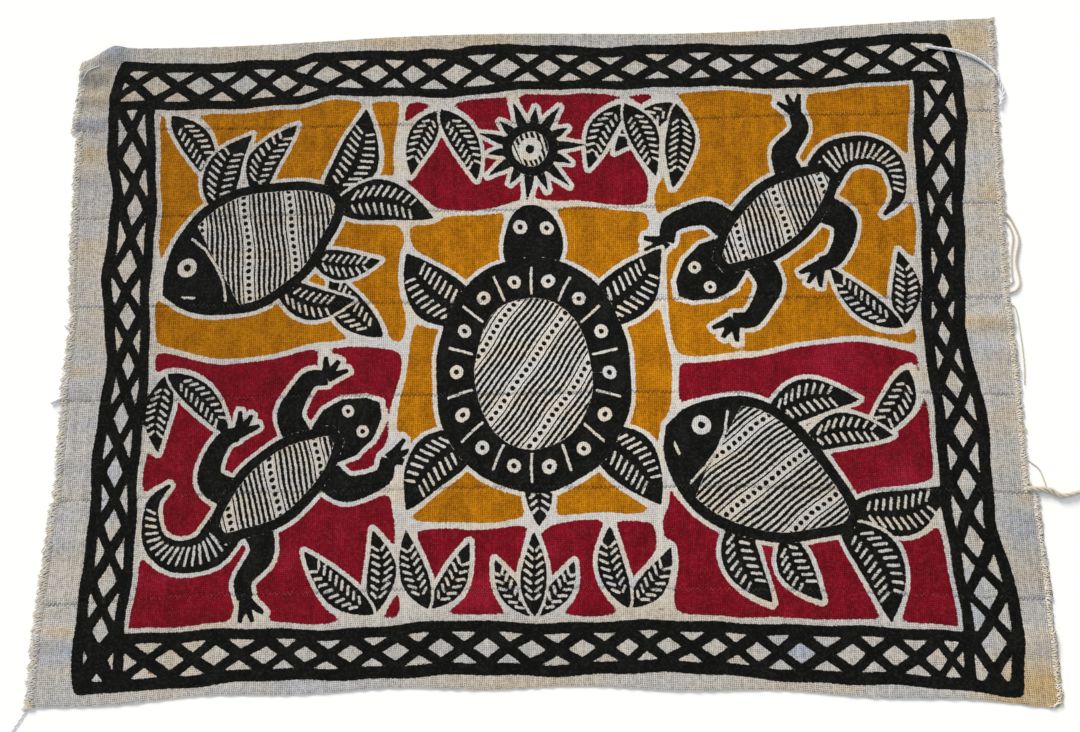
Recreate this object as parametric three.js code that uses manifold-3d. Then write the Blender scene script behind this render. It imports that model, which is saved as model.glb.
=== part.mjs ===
// A hand-painted cotton cloth of seven narrow woven strips, sewn edge to edge, lying face up.
// X runs along the strips, Y up the cloth and Z up from the surface that it lies on; sizes in millimetres.
import * as THREE from 'three';
import Module from 'manifold-3d';
import { mergeVertices } from 'three/addons/utils/BufferGeometryUtils.js';

const wasm = await Module();
wasm.setup();

const CLOTH_THICKNESS = 1.6;
const PIECE_GAP = 0.3;
const STATIONS_ACROSS_STRIP = 21;
const STATIONS_ALONG_STRIP = [-591, -577, -560, -530, -480, -400, 0, 400, 480, 530, 560, 590];
const HALF_LENGTH = 620;

const BACKING_WIDTH = 4;
const LOCKS_PER_END = 20;
const LOCK_THICKNESS = 1.3;
const LOCK_LENGTH = 8;
const LOCK_LENGTH_SPREAD = 2;
const LOCK_SLANT = 1.6;
const LOCK_ROOT_SHARE = 0.74;
const LOCK_TIP_SHARE = 0.4;

const COTTON = new THREE.Color('rgb(184, 174, 161)');
const FRAYED_COTTON = new THREE.Color('rgb(206, 192, 166)');

// Selvedges and seams, top to bottom: height at the left end, the middle and the right end,
// with the size and length of the slow waves along them and the place of one wave's crest.
const SEAM_LINES = [
  { left: 440, middle: 441, right: 443, wave: 4.0, waveLength: 690, crest: -100 },
  { left: 317, middle: 314, right: 314, wave: 0.8, waveLength: 270, crest: 60 },
  { left: 191, middle: 191, right: 186, wave: 0.8, waveLength: 330, crest: -150 },
  { left: 68, middle: 67, right: 59, wave: 0.8, waveLength: 290, crest: 20 },
  { left: -58, middle: -55, right: -65, wave: 0.8, waveLength: 350, crest: 110 },
  { left: -186, middle: -174, right: -188, wave: 0.8, waveLength: 300, crest: -70 },
  { left: -314, middle: -297, right: -315, wave: 0.8, waveLength: 260, crest: 90 },
  { left: -439, middle: -414, right: -438, wave: 2.0, waveLength: 230, crest: -400 },
];

// Where the weave of each strip stops, at its upper and lower corners.
const STRIP_ENDS = [
  { leftTop: -614, leftBottom: -621, rightTop: 615, rightBottom: 608 },
  { leftTop: -614, leftBottom: -611, rightTop: 608, rightBottom: 604 },
  { leftTop: -611, leftBottom: -603, rightTop: 604, rightBottom: 599 },
  { leftTop: -600, leftBottom: -604, rightTop: 600, rightBottom: 603 },
  { leftTop: -603, leftBottom: -601, rightTop: 602, rightBottom: 601 },
  { leftTop: -603, leftBottom: -611, rightTop: 611, rightBottom: 615 },
  { leftTop: -611, leftBottom: -613, rightTop: 614, rightBottom: 616 },
];

// Soft ripples that run in from the cut ends: side -1 is the left end, +1 the right one.
const RIPPLES = [
  { side: -1, y: 396, reach: 130, halfWidth: 15, height: 3.6 },
  { side: -1, y: 364, reach: 120, halfWidth: 14, height: 3.0 },
  { side: -1, y: 331, reach: 95, halfWidth: 15, height: 3.2 },
  { side: -1, y: 254, reach: 85, halfWidth: 22, height: 2.4 },
  { side: -1, y: -42, reach: 75, halfWidth: 20, height: 2.4 },
  { side: -1, y: -133, reach: 70, halfWidth: 20, height: 2.0 },
  { side: -1, y: -236, reach: 95, halfWidth: 26, height: 3.0 },
  { side: -1, y: -354, reach: 90, halfWidth: 22, height: 3.2 },
  { side: 1, y: 358, reach: 90, halfWidth: 18, height: 2.6 },
  { side: 1, y: 30, reach: 120, halfWidth: 20, height: 3.6 },
  { side: 1, y: -10, reach: 100, halfWidth: 18, height: 2.6 },
  { side: 1, y: -362, reach: 100, halfWidth: 24, height: 3.2 },
];

// The upper left corner bends over a short ridge, which draws the upper selvedge down there.
const CORNER_FOLD = { from: [-610, 409], to: [-576, 434], height: 9, innerReach: 34, outerReach: 16, endReach: 26 };
const CORNER_DROP = { x: -622, reach: 50, drop: 22 };

// The lower right corner is worn round.
const WORN_CORNER = { strip: 7, side: 1, radius: 14, stripWidth: 123 };

// Longer warp ends that stray from a cut end, with the points they pass through.
// A closing end that returns to the cloth is rooted there too.
const STRAY_ENDS = [
  { side: 1, strip: 3, thickness: 3.0, route: [[600, 174], [612, 171], [622, 149], [624, 133], [618, 107],
    [620, 80], [613, 68], [600, 65]] },
  { side: 1, strip: 3, thickness: 2.2, route: [[600, 164], [612, 158], [617, 140], [613, 118], [611, 92],
    [611, 80], [600, 73]] },
  { side: 1, strip: 4, thickness: 1.6, route: [[601, 50], [611, 46], [614, 15], [615, -25], [613, -53]] },
  { side: 1, strip: 5, thickness: 1.4, route: [[602, -142], [610, -149], [621, -160], [627, -182]] },
  { side: 1, strip: 5, thickness: 7.0, route: [[602, -182], [616, -183], [630, -185], [641, -191], [652, -190],
    [668, -186]] },
  { side: -1, strip: 7, thickness: 2.0, route: [[-611, -428], [-619, -438], [-628, -452], [-637, -466]] },
  { side: -1, strip: 4, thickness: 4.4, route: [[-603, -50], [-611, -54], [-623, -60]] },
  { side: -1, strip: 4, thickness: 3.4, route: [[-601, 36], [-607, 40], [-615, 44]] },
];
const STRAY_STEP = 5;
const MERGE_DISTANCE = 1e-3;

const lerp = THREE.MathUtils.lerp;
const clamp = THREE.MathUtils.clamp;

// A repeatable spread between -1 and 1 for hand-made unevenness.
function unevenness(seed) {
  const scaled = Math.sin(seed * 12.9898) * 43758.5453;
  return 2 * (scaled - Math.floor(scaled)) - 1;
}

// A bump that is 1 at 0, falls smoothly and stays 0 from 1 on.
function softBump(distance) {
  const inside = clamp(1 - Math.abs(distance), 0, 1);
  return inside * inside * (3 - 2 * inside);
}

// Height of a seam or selvedge line at x: a shallow bow with slow waves.
function seamHeight(index, x) {
  const line = SEAM_LINES[index];
  const along = x / HALF_LENGTH;
  const end = along < 0 ? line.left : line.right;
  const wave = line.wave * Math.cos((2 * Math.PI * (x - line.crest)) / line.waveLength);
  const height = lerp(line.middle, end, along * along) + wave;
  if (index > 0) {
    return height;
  }
  return height - CORNER_DROP.drop * softBump((x - CORNER_DROP.x) / CORNER_DROP.reach);
}

// How far the cloth stands off the surface at a point.
function lift(x, y) {
  let height = 0;
  for (const ripple of RIPPLES) {
    const inward = Math.max(0, HALF_LENGTH - ripple.side * x);
    height += ripple.height * softBump(inward / ripple.reach) * softBump((y - ripple.y) / ripple.halfWidth);
  }
  return height + foldLift(x, y);
}

// The ridge of the folded corner: steep on the side of the corner, gentler towards the cloth.
function foldLift(x, y) {
  const [fromX, fromY] = CORNER_FOLD.from;
  const [toX, toY] = CORNER_FOLD.to;
  const length = Math.hypot(toX - fromX, toY - fromY);
  const along = ((x - fromX) * (toX - fromX) + (y - fromY) * (toY - fromY)) / length;
  const aside = ((y - fromY) * (toX - fromX) - (x - fromX) * (toY - fromY)) / length;
  const beyond = Math.max(0, -along, along - length);
  const reach = aside > 0 ? CORNER_FOLD.outerReach : CORNER_FOLD.innerReach;
  return CORNER_FOLD.height * softBump(aside / reach) * softBump(beyond / CORNER_FOLD.endReach);
}

// How far the end of a strip stands back from its line at a share of the width, where a corner is worn round.
function wornBack(index, side, share) {
  if (index !== WORN_CORNER.strip - 1 || side !== WORN_CORNER.side) {
    return 0;
  }
  const toCorner = (1 - share) * WORN_CORNER.stripWidth;
  const into = clamp(1 - toCorner / WORN_CORNER.radius, 0, 1);
  return WORN_CORNER.radius * (1 - Math.sqrt(1 - into * into));
}

// The plan point of a strip at a place along it and at a share of its width, down from its upper edge.
function stripPoint(index, station, share) {
  const back = station.end ? station.end * wornBack(index, station.end, share) : 0;
  const x = lerp(station.top, station.bottom, share) - back;
  const upper = seamHeight(index, x) - PIECE_GAP / 2;
  const lower = seamHeight(index + 1, x) + PIECE_GAP / 2;
  return { x, y: lerp(upper, lower, share) };
}

// A closed slab over a flat mesh of plan points: a top, an underside, and walls along its rim.
function slabGeometry(points, triangles, thickness, heightAt) {
  const count = points.length;
  const positions = [];
  for (const level of [thickness, 0]) {
    for (const point of points) {
      positions.push(point.x, point.y, heightAt(point) + level);
    }
  }
  const faces = [];
  const rim = new Map();
  for (const corners of triangles) {
    const [a, b, c] = facingUp(points, corners);
    faces.push(a, b, c, count + c, count + b, count + a);
    for (const [from, to] of [[a, b], [b, c], [c, a]]) {
      if (!rim.delete(`${to} ${from}`)) {
        rim.set(`${from} ${to}`, [from, to]);
      }
    }
  }
  for (const [from, to] of rim.values()) {
    faces.push(count + from, count + to, to, count + from, to, from);
  }
  const geometry = new THREE.BufferGeometry();
  geometry.setAttribute('position', new THREE.Float32BufferAttribute(positions, 3));
  geometry.setIndex(faces);
  return geometry;
}

// The corners of a triangle in the order that runs anticlockwise seen from above.
function facingUp(points, [a, b, c]) {
  const [p, q, r] = [points[a], points[b], points[c]];
  const turn = (q.x - p.x) * (r.y - p.y) - (q.y - p.y) * (r.x - p.x);
  return turn > 0 ? [a, b, c] : [a, c, b];
}

// One woven strip between two seam lines, up to the backings of its frayed ends.
function stripGeometry(index) {
  const ends = STRIP_ENDS[index];
  const inset = BACKING_WIDTH + PIECE_GAP;
  const stations = [
    { top: ends.leftTop + inset, bottom: ends.leftBottom + inset, end: -1 },
    ...STATIONS_ALONG_STRIP.map((x) => ({ top: x, bottom: x })),
    { top: ends.rightTop - inset, bottom: ends.rightBottom - inset, end: 1 },
  ];
  const points = [];
  const triangles = [];
  stations.forEach((station, i) => {
    for (let j = 0; j < STATIONS_ACROSS_STRIP; j += 1) {
      points.push(stripPoint(index, station, j / (STATIONS_ACROSS_STRIP - 1)));
      if (i > 0 && j > 0) {
        const corner = points.length - 1;
        const before = corner - STATIONS_ACROSS_STRIP;
        triangles.push([before - 1, before, corner], [before - 1, corner, corner - 1]);
      }
    }
  });
  return slabGeometry(points, triangles, CLOTH_THICKNESS, (point) => lift(point.x, point.y));
}

// A frayed end of one strip: a narrow backing with tapered, slanting locks of warp.
// The backing follows the ripples of the strip, and the tips of the locks lie on the surface.
function locksGeometry(index, side) {
  const ends = STRIP_ENDS[index];
  const top = side < 0 ? ends.leftTop : ends.rightTop;
  const bottom = side < 0 ? ends.leftBottom : ends.rightBottom;
  const station = { top, bottom, end: side };
  const pitch = 1 / LOCKS_PER_END;
  const points = [];
  const triangles = [];
  const addPoint = (share, out, slant = 0) => {
    const { x, y } = stripPoint(index, station, share);
    points.push({ x: x + side * out, y: y + slant, rooted: out <= 0 });
    return points.length - 1;
  };
  let inner = addPoint(0, -BACKING_WIDTH);
  let lastRoot = null;
  for (let lock = 0; lock < LOCKS_PER_END; lock += 1) {
    const seed = 100 * index + 7 * lock + 31 * side;
    const middle = (lock + 0.5) * pitch;
    const root = (LOCK_ROOT_SHARE * pitch) / 2;
    const tip = (LOCK_TIP_SHARE * pitch) / 2;
    const length = LOCK_LENGTH + LOCK_LENGTH_SPREAD * unevenness(seed);
    const slant = LOCK_SLANT * unevenness(seed + 3);
    const upperRoot = addPoint(middle - root, 0);
    const upperTip = addPoint(middle - tip, length, slant);
    const lowerTip = addPoint(middle + tip, length, slant);
    const lowerRoot = addPoint(middle + root, 0);
    const nextInner = addPoint((lock + 1) * pitch, -BACKING_WIDTH);
    if (lastRoot !== null) {
      triangles.push([inner, lastRoot, upperRoot]);
    }
    triangles.push([inner, upperRoot, lowerRoot], [inner, lowerRoot, nextInner]);
    triangles.push([upperRoot, upperTip, lowerTip], [upperRoot, lowerTip, lowerRoot]);
    inner = nextInner;
    lastRoot = lowerRoot;
  }
  const heightAt = (point) => (point.rooted ? lift(point.x, point.y) : 0);
  return slabGeometry(points, triangles, LOCK_THICKNESS, heightAt);
}

// A stray warp end of four sides that lies on the surface along its route.
function strayGeometry(stray) {
  const centre = stray.thickness / 2;
  const points = stray.route.map(([x, y]) => new THREE.Vector3(x, y, centre));
  const curve = new THREE.CatmullRomCurve3(points, false, 'centripetal');
  const steps = Math.max(4, Math.round(curve.getLength() / STRAY_STEP));
  const section = new THREE.Shape();
  section.moveTo(-centre, -centre);
  section.lineTo(centre, -centre);
  section.lineTo(centre, centre);
  section.lineTo(-centre, centre);
  return new THREE.ExtrudeGeometry(section, { steps, extrudePath: curve, bevelEnabled: false });
}

// Converts a closed geometry to a solid that can be joined with others.
function toSolid(geometry) {
  const bare = geometry.clone();
  bare.deleteAttribute('normal');
  bare.deleteAttribute('uv');
  const merged = mergeVertices(bare, MERGE_DISTANCE);
  return new wasm.Manifold(new wasm.Mesh({
    numProp: 3,
    vertProperties: new Float32Array(merged.getAttribute('position').array),
    triVerts: new Uint32Array(merged.index.array),
  }));
}

function toGeometry(solid) {
  const mesh = solid.getMesh();
  const geometry = new THREE.BufferGeometry();
  geometry.setAttribute('position', new THREE.Float32BufferAttribute(mesh.vertProperties, 3));
  geometry.setIndex(Array.from(mesh.triVerts));
  return geometry;
}

// A frayed end with its backing, its short locks and any stray ends rooted in it.
function fringeGeometry(index, side) {
  const locks = locksGeometry(index, side);
  const strays = STRAY_ENDS.filter((stray) => stray.side === side && stray.strip === index + 1);
  if (strays.length === 0) {
    return locks;
  }
  return toGeometry(strays.reduce((solid, stray) => solid.add(toSolid(strayGeometry(stray))), toSolid(locks)));
}

function pieceMesh(name, geometry, color) {
  const mesh = new THREE.Mesh(geometry, new THREE.MeshStandardMaterial({ color, roughness: 0.95, metalness: 0 }));
  mesh.name = name;
  return mesh;
}

const cloth = new THREE.Group();
STRIP_ENDS.forEach((ends, index) => {
  const number = index + 1;
  cloth.add(pieceMesh(`strip_${number}`, stripGeometry(index), COTTON));
  cloth.add(pieceMesh(`fringe_left_${number}`, fringeGeometry(index, -1), FRAYED_COTTON));
  cloth.add(pieceMesh(`fringe_right_${number}`, fringeGeometry(index, 1), FRAYED_COTTON));
});

// The origin is on the surface, under the middle of the whole cloth.
const middle = new THREE.Box3().setFromObject(cloth).getCenter(new THREE.Vector3());
cloth.position.set(-middle.x, -middle.y, 0);

const part = new THREE.Group();
part.add(cloth);
part.updateMatrixWorld(true);

export default part;
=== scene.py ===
import math

import bpy
import numpy as np
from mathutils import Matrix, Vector


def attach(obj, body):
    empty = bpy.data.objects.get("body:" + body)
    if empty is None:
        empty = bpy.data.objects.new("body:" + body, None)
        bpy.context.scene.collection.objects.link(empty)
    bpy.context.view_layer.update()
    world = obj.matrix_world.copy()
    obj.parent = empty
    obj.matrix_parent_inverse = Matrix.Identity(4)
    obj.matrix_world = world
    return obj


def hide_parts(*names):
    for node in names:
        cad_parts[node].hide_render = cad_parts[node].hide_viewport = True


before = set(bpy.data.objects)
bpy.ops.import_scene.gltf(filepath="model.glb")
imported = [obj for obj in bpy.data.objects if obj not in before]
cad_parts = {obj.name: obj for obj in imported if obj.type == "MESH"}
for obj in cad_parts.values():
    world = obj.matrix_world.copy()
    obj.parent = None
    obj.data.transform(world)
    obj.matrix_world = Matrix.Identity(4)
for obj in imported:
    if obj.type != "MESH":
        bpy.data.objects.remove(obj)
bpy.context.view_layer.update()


def rows(names, values):
    """A table's rows as dictionaries that share the same names."""
    return [dict(zip(names.split(), row)) for row in values]


# Sizes of the cloth in millimetres, in its own frame: X along the strips, Y up the cloth, Z up.
MM = 0.001
CLOTH_SHIFT = (-15.504, 9.911)
CLOTH_THICKNESS = 1.6
HALF_LENGTH = 620
STRIP_COUNT = 7
STRIP_WIDTH = 125.0
COLUMNS = 611
ROWS = 64
UNDERSIDE_COLUMN_STEP = 5
UNDERSIDE_ROW_STEP = 7

# Selvedges and seams, top to bottom: height at the left end, the middle and the right end, with slow waves.
SEAM_LINES = rows("left middle right wave wave_length crest", [
    (440, 441, 443, 4.0, 690, -100),
    (317, 314, 314, 0.8, 270, 60),
    (191, 191, 186, 0.8, 330, -150),
    (68, 67, 59, 0.8, 290, 20),
    (-58, -55, -65, 0.8, 350, 110),
    (-186, -174, -188, 0.8, 300, -70),
    (-314, -297, -315, 0.8, 260, 90),
    (-439, -414, -438, 2.0, 230, -400),
])

# Where the weave of each strip stops, at its upper and lower corners.
STRIP_ENDS = rows("left_top left_bottom right_top right_bottom", [
    (-614, -621, 615, 608),
    (-614, -611, 608, 604),
    (-611, -603, 604, 599),
    (-600, -604, 600, 603),
    (-603, -601, 602, 601),
    (-603, -611, 611, 615),
    (-611, -613, 614, 616),
])

# Soft ripples that run in from the cut ends: side -1 is the left end, +1 the right one.
RIPPLES = rows("side y reach half_width height", [
    (-1, 396, 130, 15, 3.6),
    (-1, 364, 120, 14, 3.0),
    (-1, 331, 95, 15, 3.2),
    (-1, 254, 85, 22, 2.4),
    (-1, -42, 75, 20, 2.4),
    (-1, -133, 70, 20, 2.0),
    (-1, -236, 95, 26, 3.0),
    (-1, -354, 90, 22, 3.2),
    (1, 358, 90, 18, 2.6),
    (1, 30, 120, 20, 3.6),
    (1, -10, 100, 18, 2.6),
    (1, -362, 100, 24, 3.2),
])
# The upper left corner bends over a short ridge, and the lower right one is worn round.
CORNER_FOLD = dict(start=(-610, 409), end=(-576, 434), height=9, inner_reach=34, outer_reach=16, end_reach=26)
CORNER_DROP = dict(x=-622, reach=50, drop=22)
WORN_CORNER = dict(strip=7, side=1, radius=14, strip_width=123)

# Longer warp ends that stray from a cut end, with the points they pass through.
STRAY_ENDS = rows("side strip thickness plies route", [
    (1, 3, 3.0, 4, [(600, 174), (612, 171), (622, 149), (624, 133), (618, 107), (620, 80), (613, 68),
                    (600, 65)]),
    (1, 3, 2.2, 3, [(600, 164), (612, 158), (617, 140), (613, 118), (611, 92), (611, 80), (600, 73)]),
    (1, 4, 1.6, 2, [(601, 50), (611, 46), (614, 15), (615, -25), (613, -53)]),
    (1, 5, 1.4, 1, [(602, -142), (610, -149), (621, -160), (627, -182)]),
    (1, 5, 7.0, 3, [(602, -182), (616, -183), (630, -185), (641, -191), (652, -190), (668, -186)]),
    (-1, 7, 2.0, 2, [(-611, -428), (-619, -438), (-628, -452), (-637, -466)]),
    (-1, 4, 4.4, 4, [(-603, -50), (-611, -54), (-623, -60)]),
    (-1, 4, 3.4, 4, [(-601, 36), (-607, 40), (-615, 44)]),
])
# White threads that lie on the cloth: over the upper right of the border, and at the folded corner.
LOOSE_THREADS = rows("thickness plies route", [
    (4.8, 3, [(527, 407), (548, 403), (566, 399), (591, 388), (610, 371), (620, 352), (623, 337),
              (616, 320)]),
    (1.4, 1, [(-593, 408), (-604, 402), (-616, 390), (-622, 384)]),
])
# The slight unevenness of flat cloth: its middle height, and how high its slow and quick waves are.
SLACK = dict(middle=0.45, slow=0.35, quick=0.1)

# A distance beyond every painted shape
FAR = 1000.0


# The lie of the cloth
def soft_bump(distance):
    """1 at 0, falling smoothly to 0 at 1 and beyond."""
    inside = np.clip(1 - np.abs(distance), 0, 1)
    return inside * inside * (3 - 2 * inside)


def seam_height(index, x):
    """Where a seam or selvedge runs across the cloth."""
    line = SEAM_LINES[index]
    along = x / HALF_LENGTH
    end = np.where(along < 0, line["left"], line["right"])
    wave = line["wave"] * np.cos(2 * np.pi * (x - line["crest"]) / line["wave_length"])
    height = line["middle"] + (end - line["middle"]) * along * along + wave
    if index == 0:
        height = height - CORNER_DROP["drop"] * soft_bump((x - CORNER_DROP["x"]) / CORNER_DROP["reach"])
    return height


def lift(x, y):
    """How far the main ripples and the folded corner stand off the floor."""
    height = np.zeros(np.broadcast(x, y).shape)
    for ripple in RIPPLES:
        inward = np.maximum(0, HALF_LENGTH - ripple["side"] * x)
        rise = soft_bump(inward / ripple["reach"]) * soft_bump((y - ripple["y"]) / ripple["half_width"])
        height = height + ripple["height"] * rise
    return height + fold_lift(x, y)


def fold_lift(x, y):
    """The ridge of the folded corner: steep on the side of the corner, gentler towards the cloth."""
    start = np.array(CORNER_FOLD["start"], float)
    run = np.array(CORNER_FOLD["end"], float) - start
    length = np.hypot(*run)
    along = ((x - start[0]) * run[0] + (y - start[1]) * run[1]) / length
    aside = ((y - start[1]) * run[0] - (x - start[0]) * run[1]) / length
    beyond = np.maximum(0, np.maximum(-along, along - length))
    reach = np.where(aside > 0, CORNER_FOLD["outer_reach"], CORNER_FOLD["inner_reach"])
    return CORNER_FOLD["height"] * soft_bump(aside / reach) * soft_bump(beyond / CORNER_FOLD["end_reach"])


def worn_back(index, side, share):
    """How far the end of a strip stands back from its line where a corner is worn round."""
    if index != WORN_CORNER["strip"] - 1 or side != WORN_CORNER["side"]:
        return 0.0
    into = np.clip(1 - (1 - share) * WORN_CORNER["strip_width"] / WORN_CORNER["radius"], 0, 1)
    return WORN_CORNER["radius"] * (1 - np.sqrt(1 - into * into))


def slack(x, y):
    """The slight unevenness of cloth that lies flat, never below the floor."""
    slow = np.sin(x / 61 + 1.3 * np.sin(y / 83)) * np.sin(y / 47 + 0.8 * np.sin(x / 97))
    quick = np.sin(x / 23 + 2.0) * np.sin(y / 29 + np.sin(x / 40))
    return SLACK["middle"] + SLACK["slow"] * slow + SLACK["quick"] * quick


def cloth_top(x, y):
    """The height of the cloth's upper face."""
    return lift(x, y) + slack(x, y) + CLOTH_THICKNESS


def strip_end(index, side, share):
    """Where the weave of a strip stops, at a share of its width from its upper edge."""
    ends = STRIP_ENDS[index]
    name = "left" if side < 0 else "right"
    straight = ends[name + "_top"] + (ends[name + "_bottom"] - ends[name + "_top"]) * share
    return straight - side * worn_back(index, side, share)


def strip_point(index, x, share):
    """The height on the cloth at a share of a strip's width from its upper edge."""
    upper = seam_height(index, x)
    lower = seam_height(index + 1, x)
    return upper + (lower - upper) * share


# Curves through picked points
ROUTE_STEPS = 12


def direction(path):
    """Unit steps along one path or several."""
    toward = np.gradient(path, axis=-2)
    return toward / np.linalg.norm(toward, axis=-1, keepdims=True)


def distances_along(path):
    """How far each point of a path lies from its start."""
    return np.concatenate([[0], np.cumsum(np.linalg.norm(np.diff(path, axis=0), axis=1))])


def smooth_route(route, steps):
    """A round curve through given points, evenly stepped."""
    route = np.asarray(route, float)
    padded = np.vstack([2 * route[0] - route[1], route, 2 * route[-1] - route[-2]])
    t = np.linspace(0, 1, ROUTE_STEPS, endpoint=False)[:, None]
    curve = []
    for before, start, end, after in zip(padded[:-3], padded[1:-2], padded[2:-1], padded[3:]):
        slope = end - before
        bend = 2 * before - 5 * start + 4 * end - after
        twist = 3 * start - before - 3 * end + after
        curve.append(0.5 * (2 * start + slope * t + bend * t ** 2 + twist * t ** 3))
    curve = np.vstack(curve + [route[-1:]])
    length = distances_along(curve)
    at = np.linspace(0, length[-1], steps)
    return np.stack([np.interp(at, length, axis) for axis in curve.T], axis=1)


# Distances in the painting, in millimetres, below 0 inside a shape
def line_distance(points, line):
    """How far each point is from a line of straight runs."""
    best = np.full(len(points), FAR)
    for start, end in zip(line[:-1], line[1:]):
        run = end - start
        along = np.clip(((points - start) @ run) / (run @ run), 0, 1)
        best = np.minimum(best, np.hypot(*(points - start - along[:, None] * run).T))
    return best


def loop_distance(points, loop):
    """How far each point is outside a closed outline."""
    closed = np.vstack([loop, loop[:1]])
    inside = np.zeros(len(points), bool)
    for (ax, ay), (bx, by) in zip(closed[:-1], closed[1:]):
        if ay == by:
            continue
        between = (ay > points[:, 1]) != (by > points[:, 1])
        crossing = ax + (points[:, 1] - ay) * (bx - ax) / (by - ay)
        inside ^= between & (points[:, 0] < crossing)
    distance = line_distance(points, closed)
    return np.where(inside, -distance, distance)


def soft_join(a, b, rounding):
    """Two shapes as one, with rounded inner corners."""
    return 0.5 * (a + b - np.sqrt((a - b) ** 2 + rounding ** 2))


def soft_meet(a, b, rounding):
    """What two shapes have in common, with rounded corners."""
    return 0.5 * (a + b + np.sqrt((a - b) ** 2 + rounding ** 2))


def join(layer, near, shape):
    """Adds a shape to a layer of distances."""
    layer[near] = np.minimum(layer[near], shape)


def cut_out(layer, near, shape):
    """Takes a shape out of a layer of distances."""
    layer[near] = np.maximum(layer[near], -shape)


# The painting
OUTLINE_WIDTH = 13.0
RESERVE_WIDTH = 4.8
BORDER_RESERVE = 5.4
MARK_WIDTH = 3.3
NEAR_MARGIN = 40.0


class Painting:
    """Black figures, hatching and coloured grounds, as distances at a set of points on the cloth."""

    def __init__(self, points):
        self.points = points
        count = len(points)
        self.black = np.full(count, FAR)
        self.figure = np.full(count, FAR)
        self.hatch = np.full(count, FAR)
        self.hatch_across = np.zeros(count)
        self.hatch_along = np.zeros(count)
        self.crimson = np.full(count, FAR)
        self.ochre = np.full(count, FAR)
        self.field = np.full(count, FAR)

    def near(self, outline):
        """The points near a shape, and how far they are from its edge."""
        low = outline.min(axis=0) - NEAR_MARGIN
        high = outline.max(axis=0) + NEAR_MARGIN
        near = np.flatnonzero(((self.points > low) & (self.points < high)).all(axis=1))
        return near, loop_distance(self.points[near], outline)

    def fill(self, outline, marks=(), gap=0.0):
        """A black shape with bare marks left in it, and a bare gap between it and earlier black."""
        near, shape = self.near(outline)
        join(self.figure, near, shape)
        cut_out(self.hatch, near, shape)
        if gap > 0:
            cut_out(self.black, near, shape - gap)
        for mark in marks:
            shape = np.maximum(shape, MARK_WIDTH / 2 - line_distance(self.points[near], mark))
        join(self.black, near, shape)

    def blank(self, outline):
        """A place inside a figure that is left bare."""
        near, shape = self.near(outline)
        join(self.figure, near, shape)
        cut_out(self.black, near, shape)
        cut_out(self.hatch, near, shape)

    def body(self, outline, turn):
        """An outlined shape with hatching at an angle, over what was painted before."""
        self.blank(outline)
        near, shape = self.near(outline)
        join(self.black, near, np.abs(shape + OUTLINE_WIDTH / 2) - OUTLINE_WIDTH / 2)
        join(self.hatch, near, shape + OUTLINE_WIDTH)
        held = near[shape < OUTLINE_WIDTH]
        across = np.array([math.cos(turn), math.sin(turn)])
        along = np.array([-math.sin(turn), math.cos(turn)])
        self.hatch_across[held] = self.points[held] @ across
        self.hatch_along[held] = self.points[held] @ along


def placed(shape, centre, size, turn=0.0, flip=1):
    """A shape in unit sizes, flipped, turned and set down on the cloth."""
    shape = np.asarray(shape, float) * size
    shape[:, 0] *= flip
    turned = np.array([[math.cos(turn), math.sin(turn)], [-math.sin(turn), math.cos(turn)]])
    return shape @ turned + np.asarray(centre, float)


def ellipse(width, height, steps=48):
    angle = np.linspace(0, 2 * np.pi, steps, endpoint=False)
    return np.stack([width / 2 * np.cos(angle), height / 2 * np.sin(angle)], axis=1)


LEAF_STEPS = 17
LEAF_GAP = 3.4
MARK_SPACING = 9.4
# A leaf's marks: the shares of its length they lie between, the shares of its half width, and their lean
LEAF_MARKS = dict(first=0.2, last=0.78, inner=0.2, outer=0.68, lean=0.6)


def leaf(base, tip, width, bend=0.0):
    """A pointed black leaf and the short slanting marks left bare on both sides of its rib."""
    base = np.asarray(base, float)
    run = np.asarray(tip, float) - base
    length = np.hypot(*run)
    across = np.array([-run[1], run[0]])
    step = np.linspace(0, 1, LEAF_STEPS)

    def spine(share):
        share = np.atleast_1d(share)[:, None]
        return base + share * run + bend * np.sin(np.pi * share) * across

    def half_width(share):
        return width / 2 / length * np.sin(np.pi * share ** 0.85) ** 0.9

    left = spine(step) + half_width(step)[:, None] * across
    right = spine(step) - half_width(step)[:, None] * across
    outline = np.vstack([left, right[-2:0:-1]])
    marks = []
    pitch = MARK_SPACING / length
    for share in np.arange(LEAF_MARKS["first"], LEAF_MARKS["last"], pitch):
        for side in (-1, 1):
            aside = side * half_width(share) * across
            start = spine(share)[0] + LEAF_MARKS["inner"] * aside
            end = spine(share + LEAF_MARKS["lean"] * pitch)[0] + LEAF_MARKS["outer"] * aside
            marks.append(np.array([start, end]))
    return outline, marks


LIMB_STEPS = 24
# The ladder of marks on a limb: the shares of its length it lies between, its width and its lean
LADDER = dict(first=0.1, last=0.8, width=0.5, lean=0.3)


def limb(route, widths, marked=False):
    """A tapering black limb along a curve, with a ladder of bare marks across it if wanted."""
    spine = smooth_route(route, LIMB_STEPS)
    toward = direction(spine)
    across = np.stack([-toward[:, 1], toward[:, 0]], axis=1)
    step = np.linspace(0, 1, LIMB_STEPS)
    half = np.interp(step, np.linspace(0, 1, len(widths)), widths)[:, None] / 2
    outline = np.vstack([spine + half * across, (spine - half * across)[::-1]])
    marks = []
    if marked:
        count = int(distances_along(spine)[-1] / MARK_SPACING)
        for place in np.linspace(LADDER["first"], LADDER["last"], count):
            at = int(place * (LIMB_STEPS - 1))
            reach = LADDER["width"] * half[at] * across[at]
            lean = LADDER["lean"] * half[at] * toward[at]
            marks.append(np.array([spine[at] - reach, spine[at] + reach + lean]))
    return outline, marks


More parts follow.
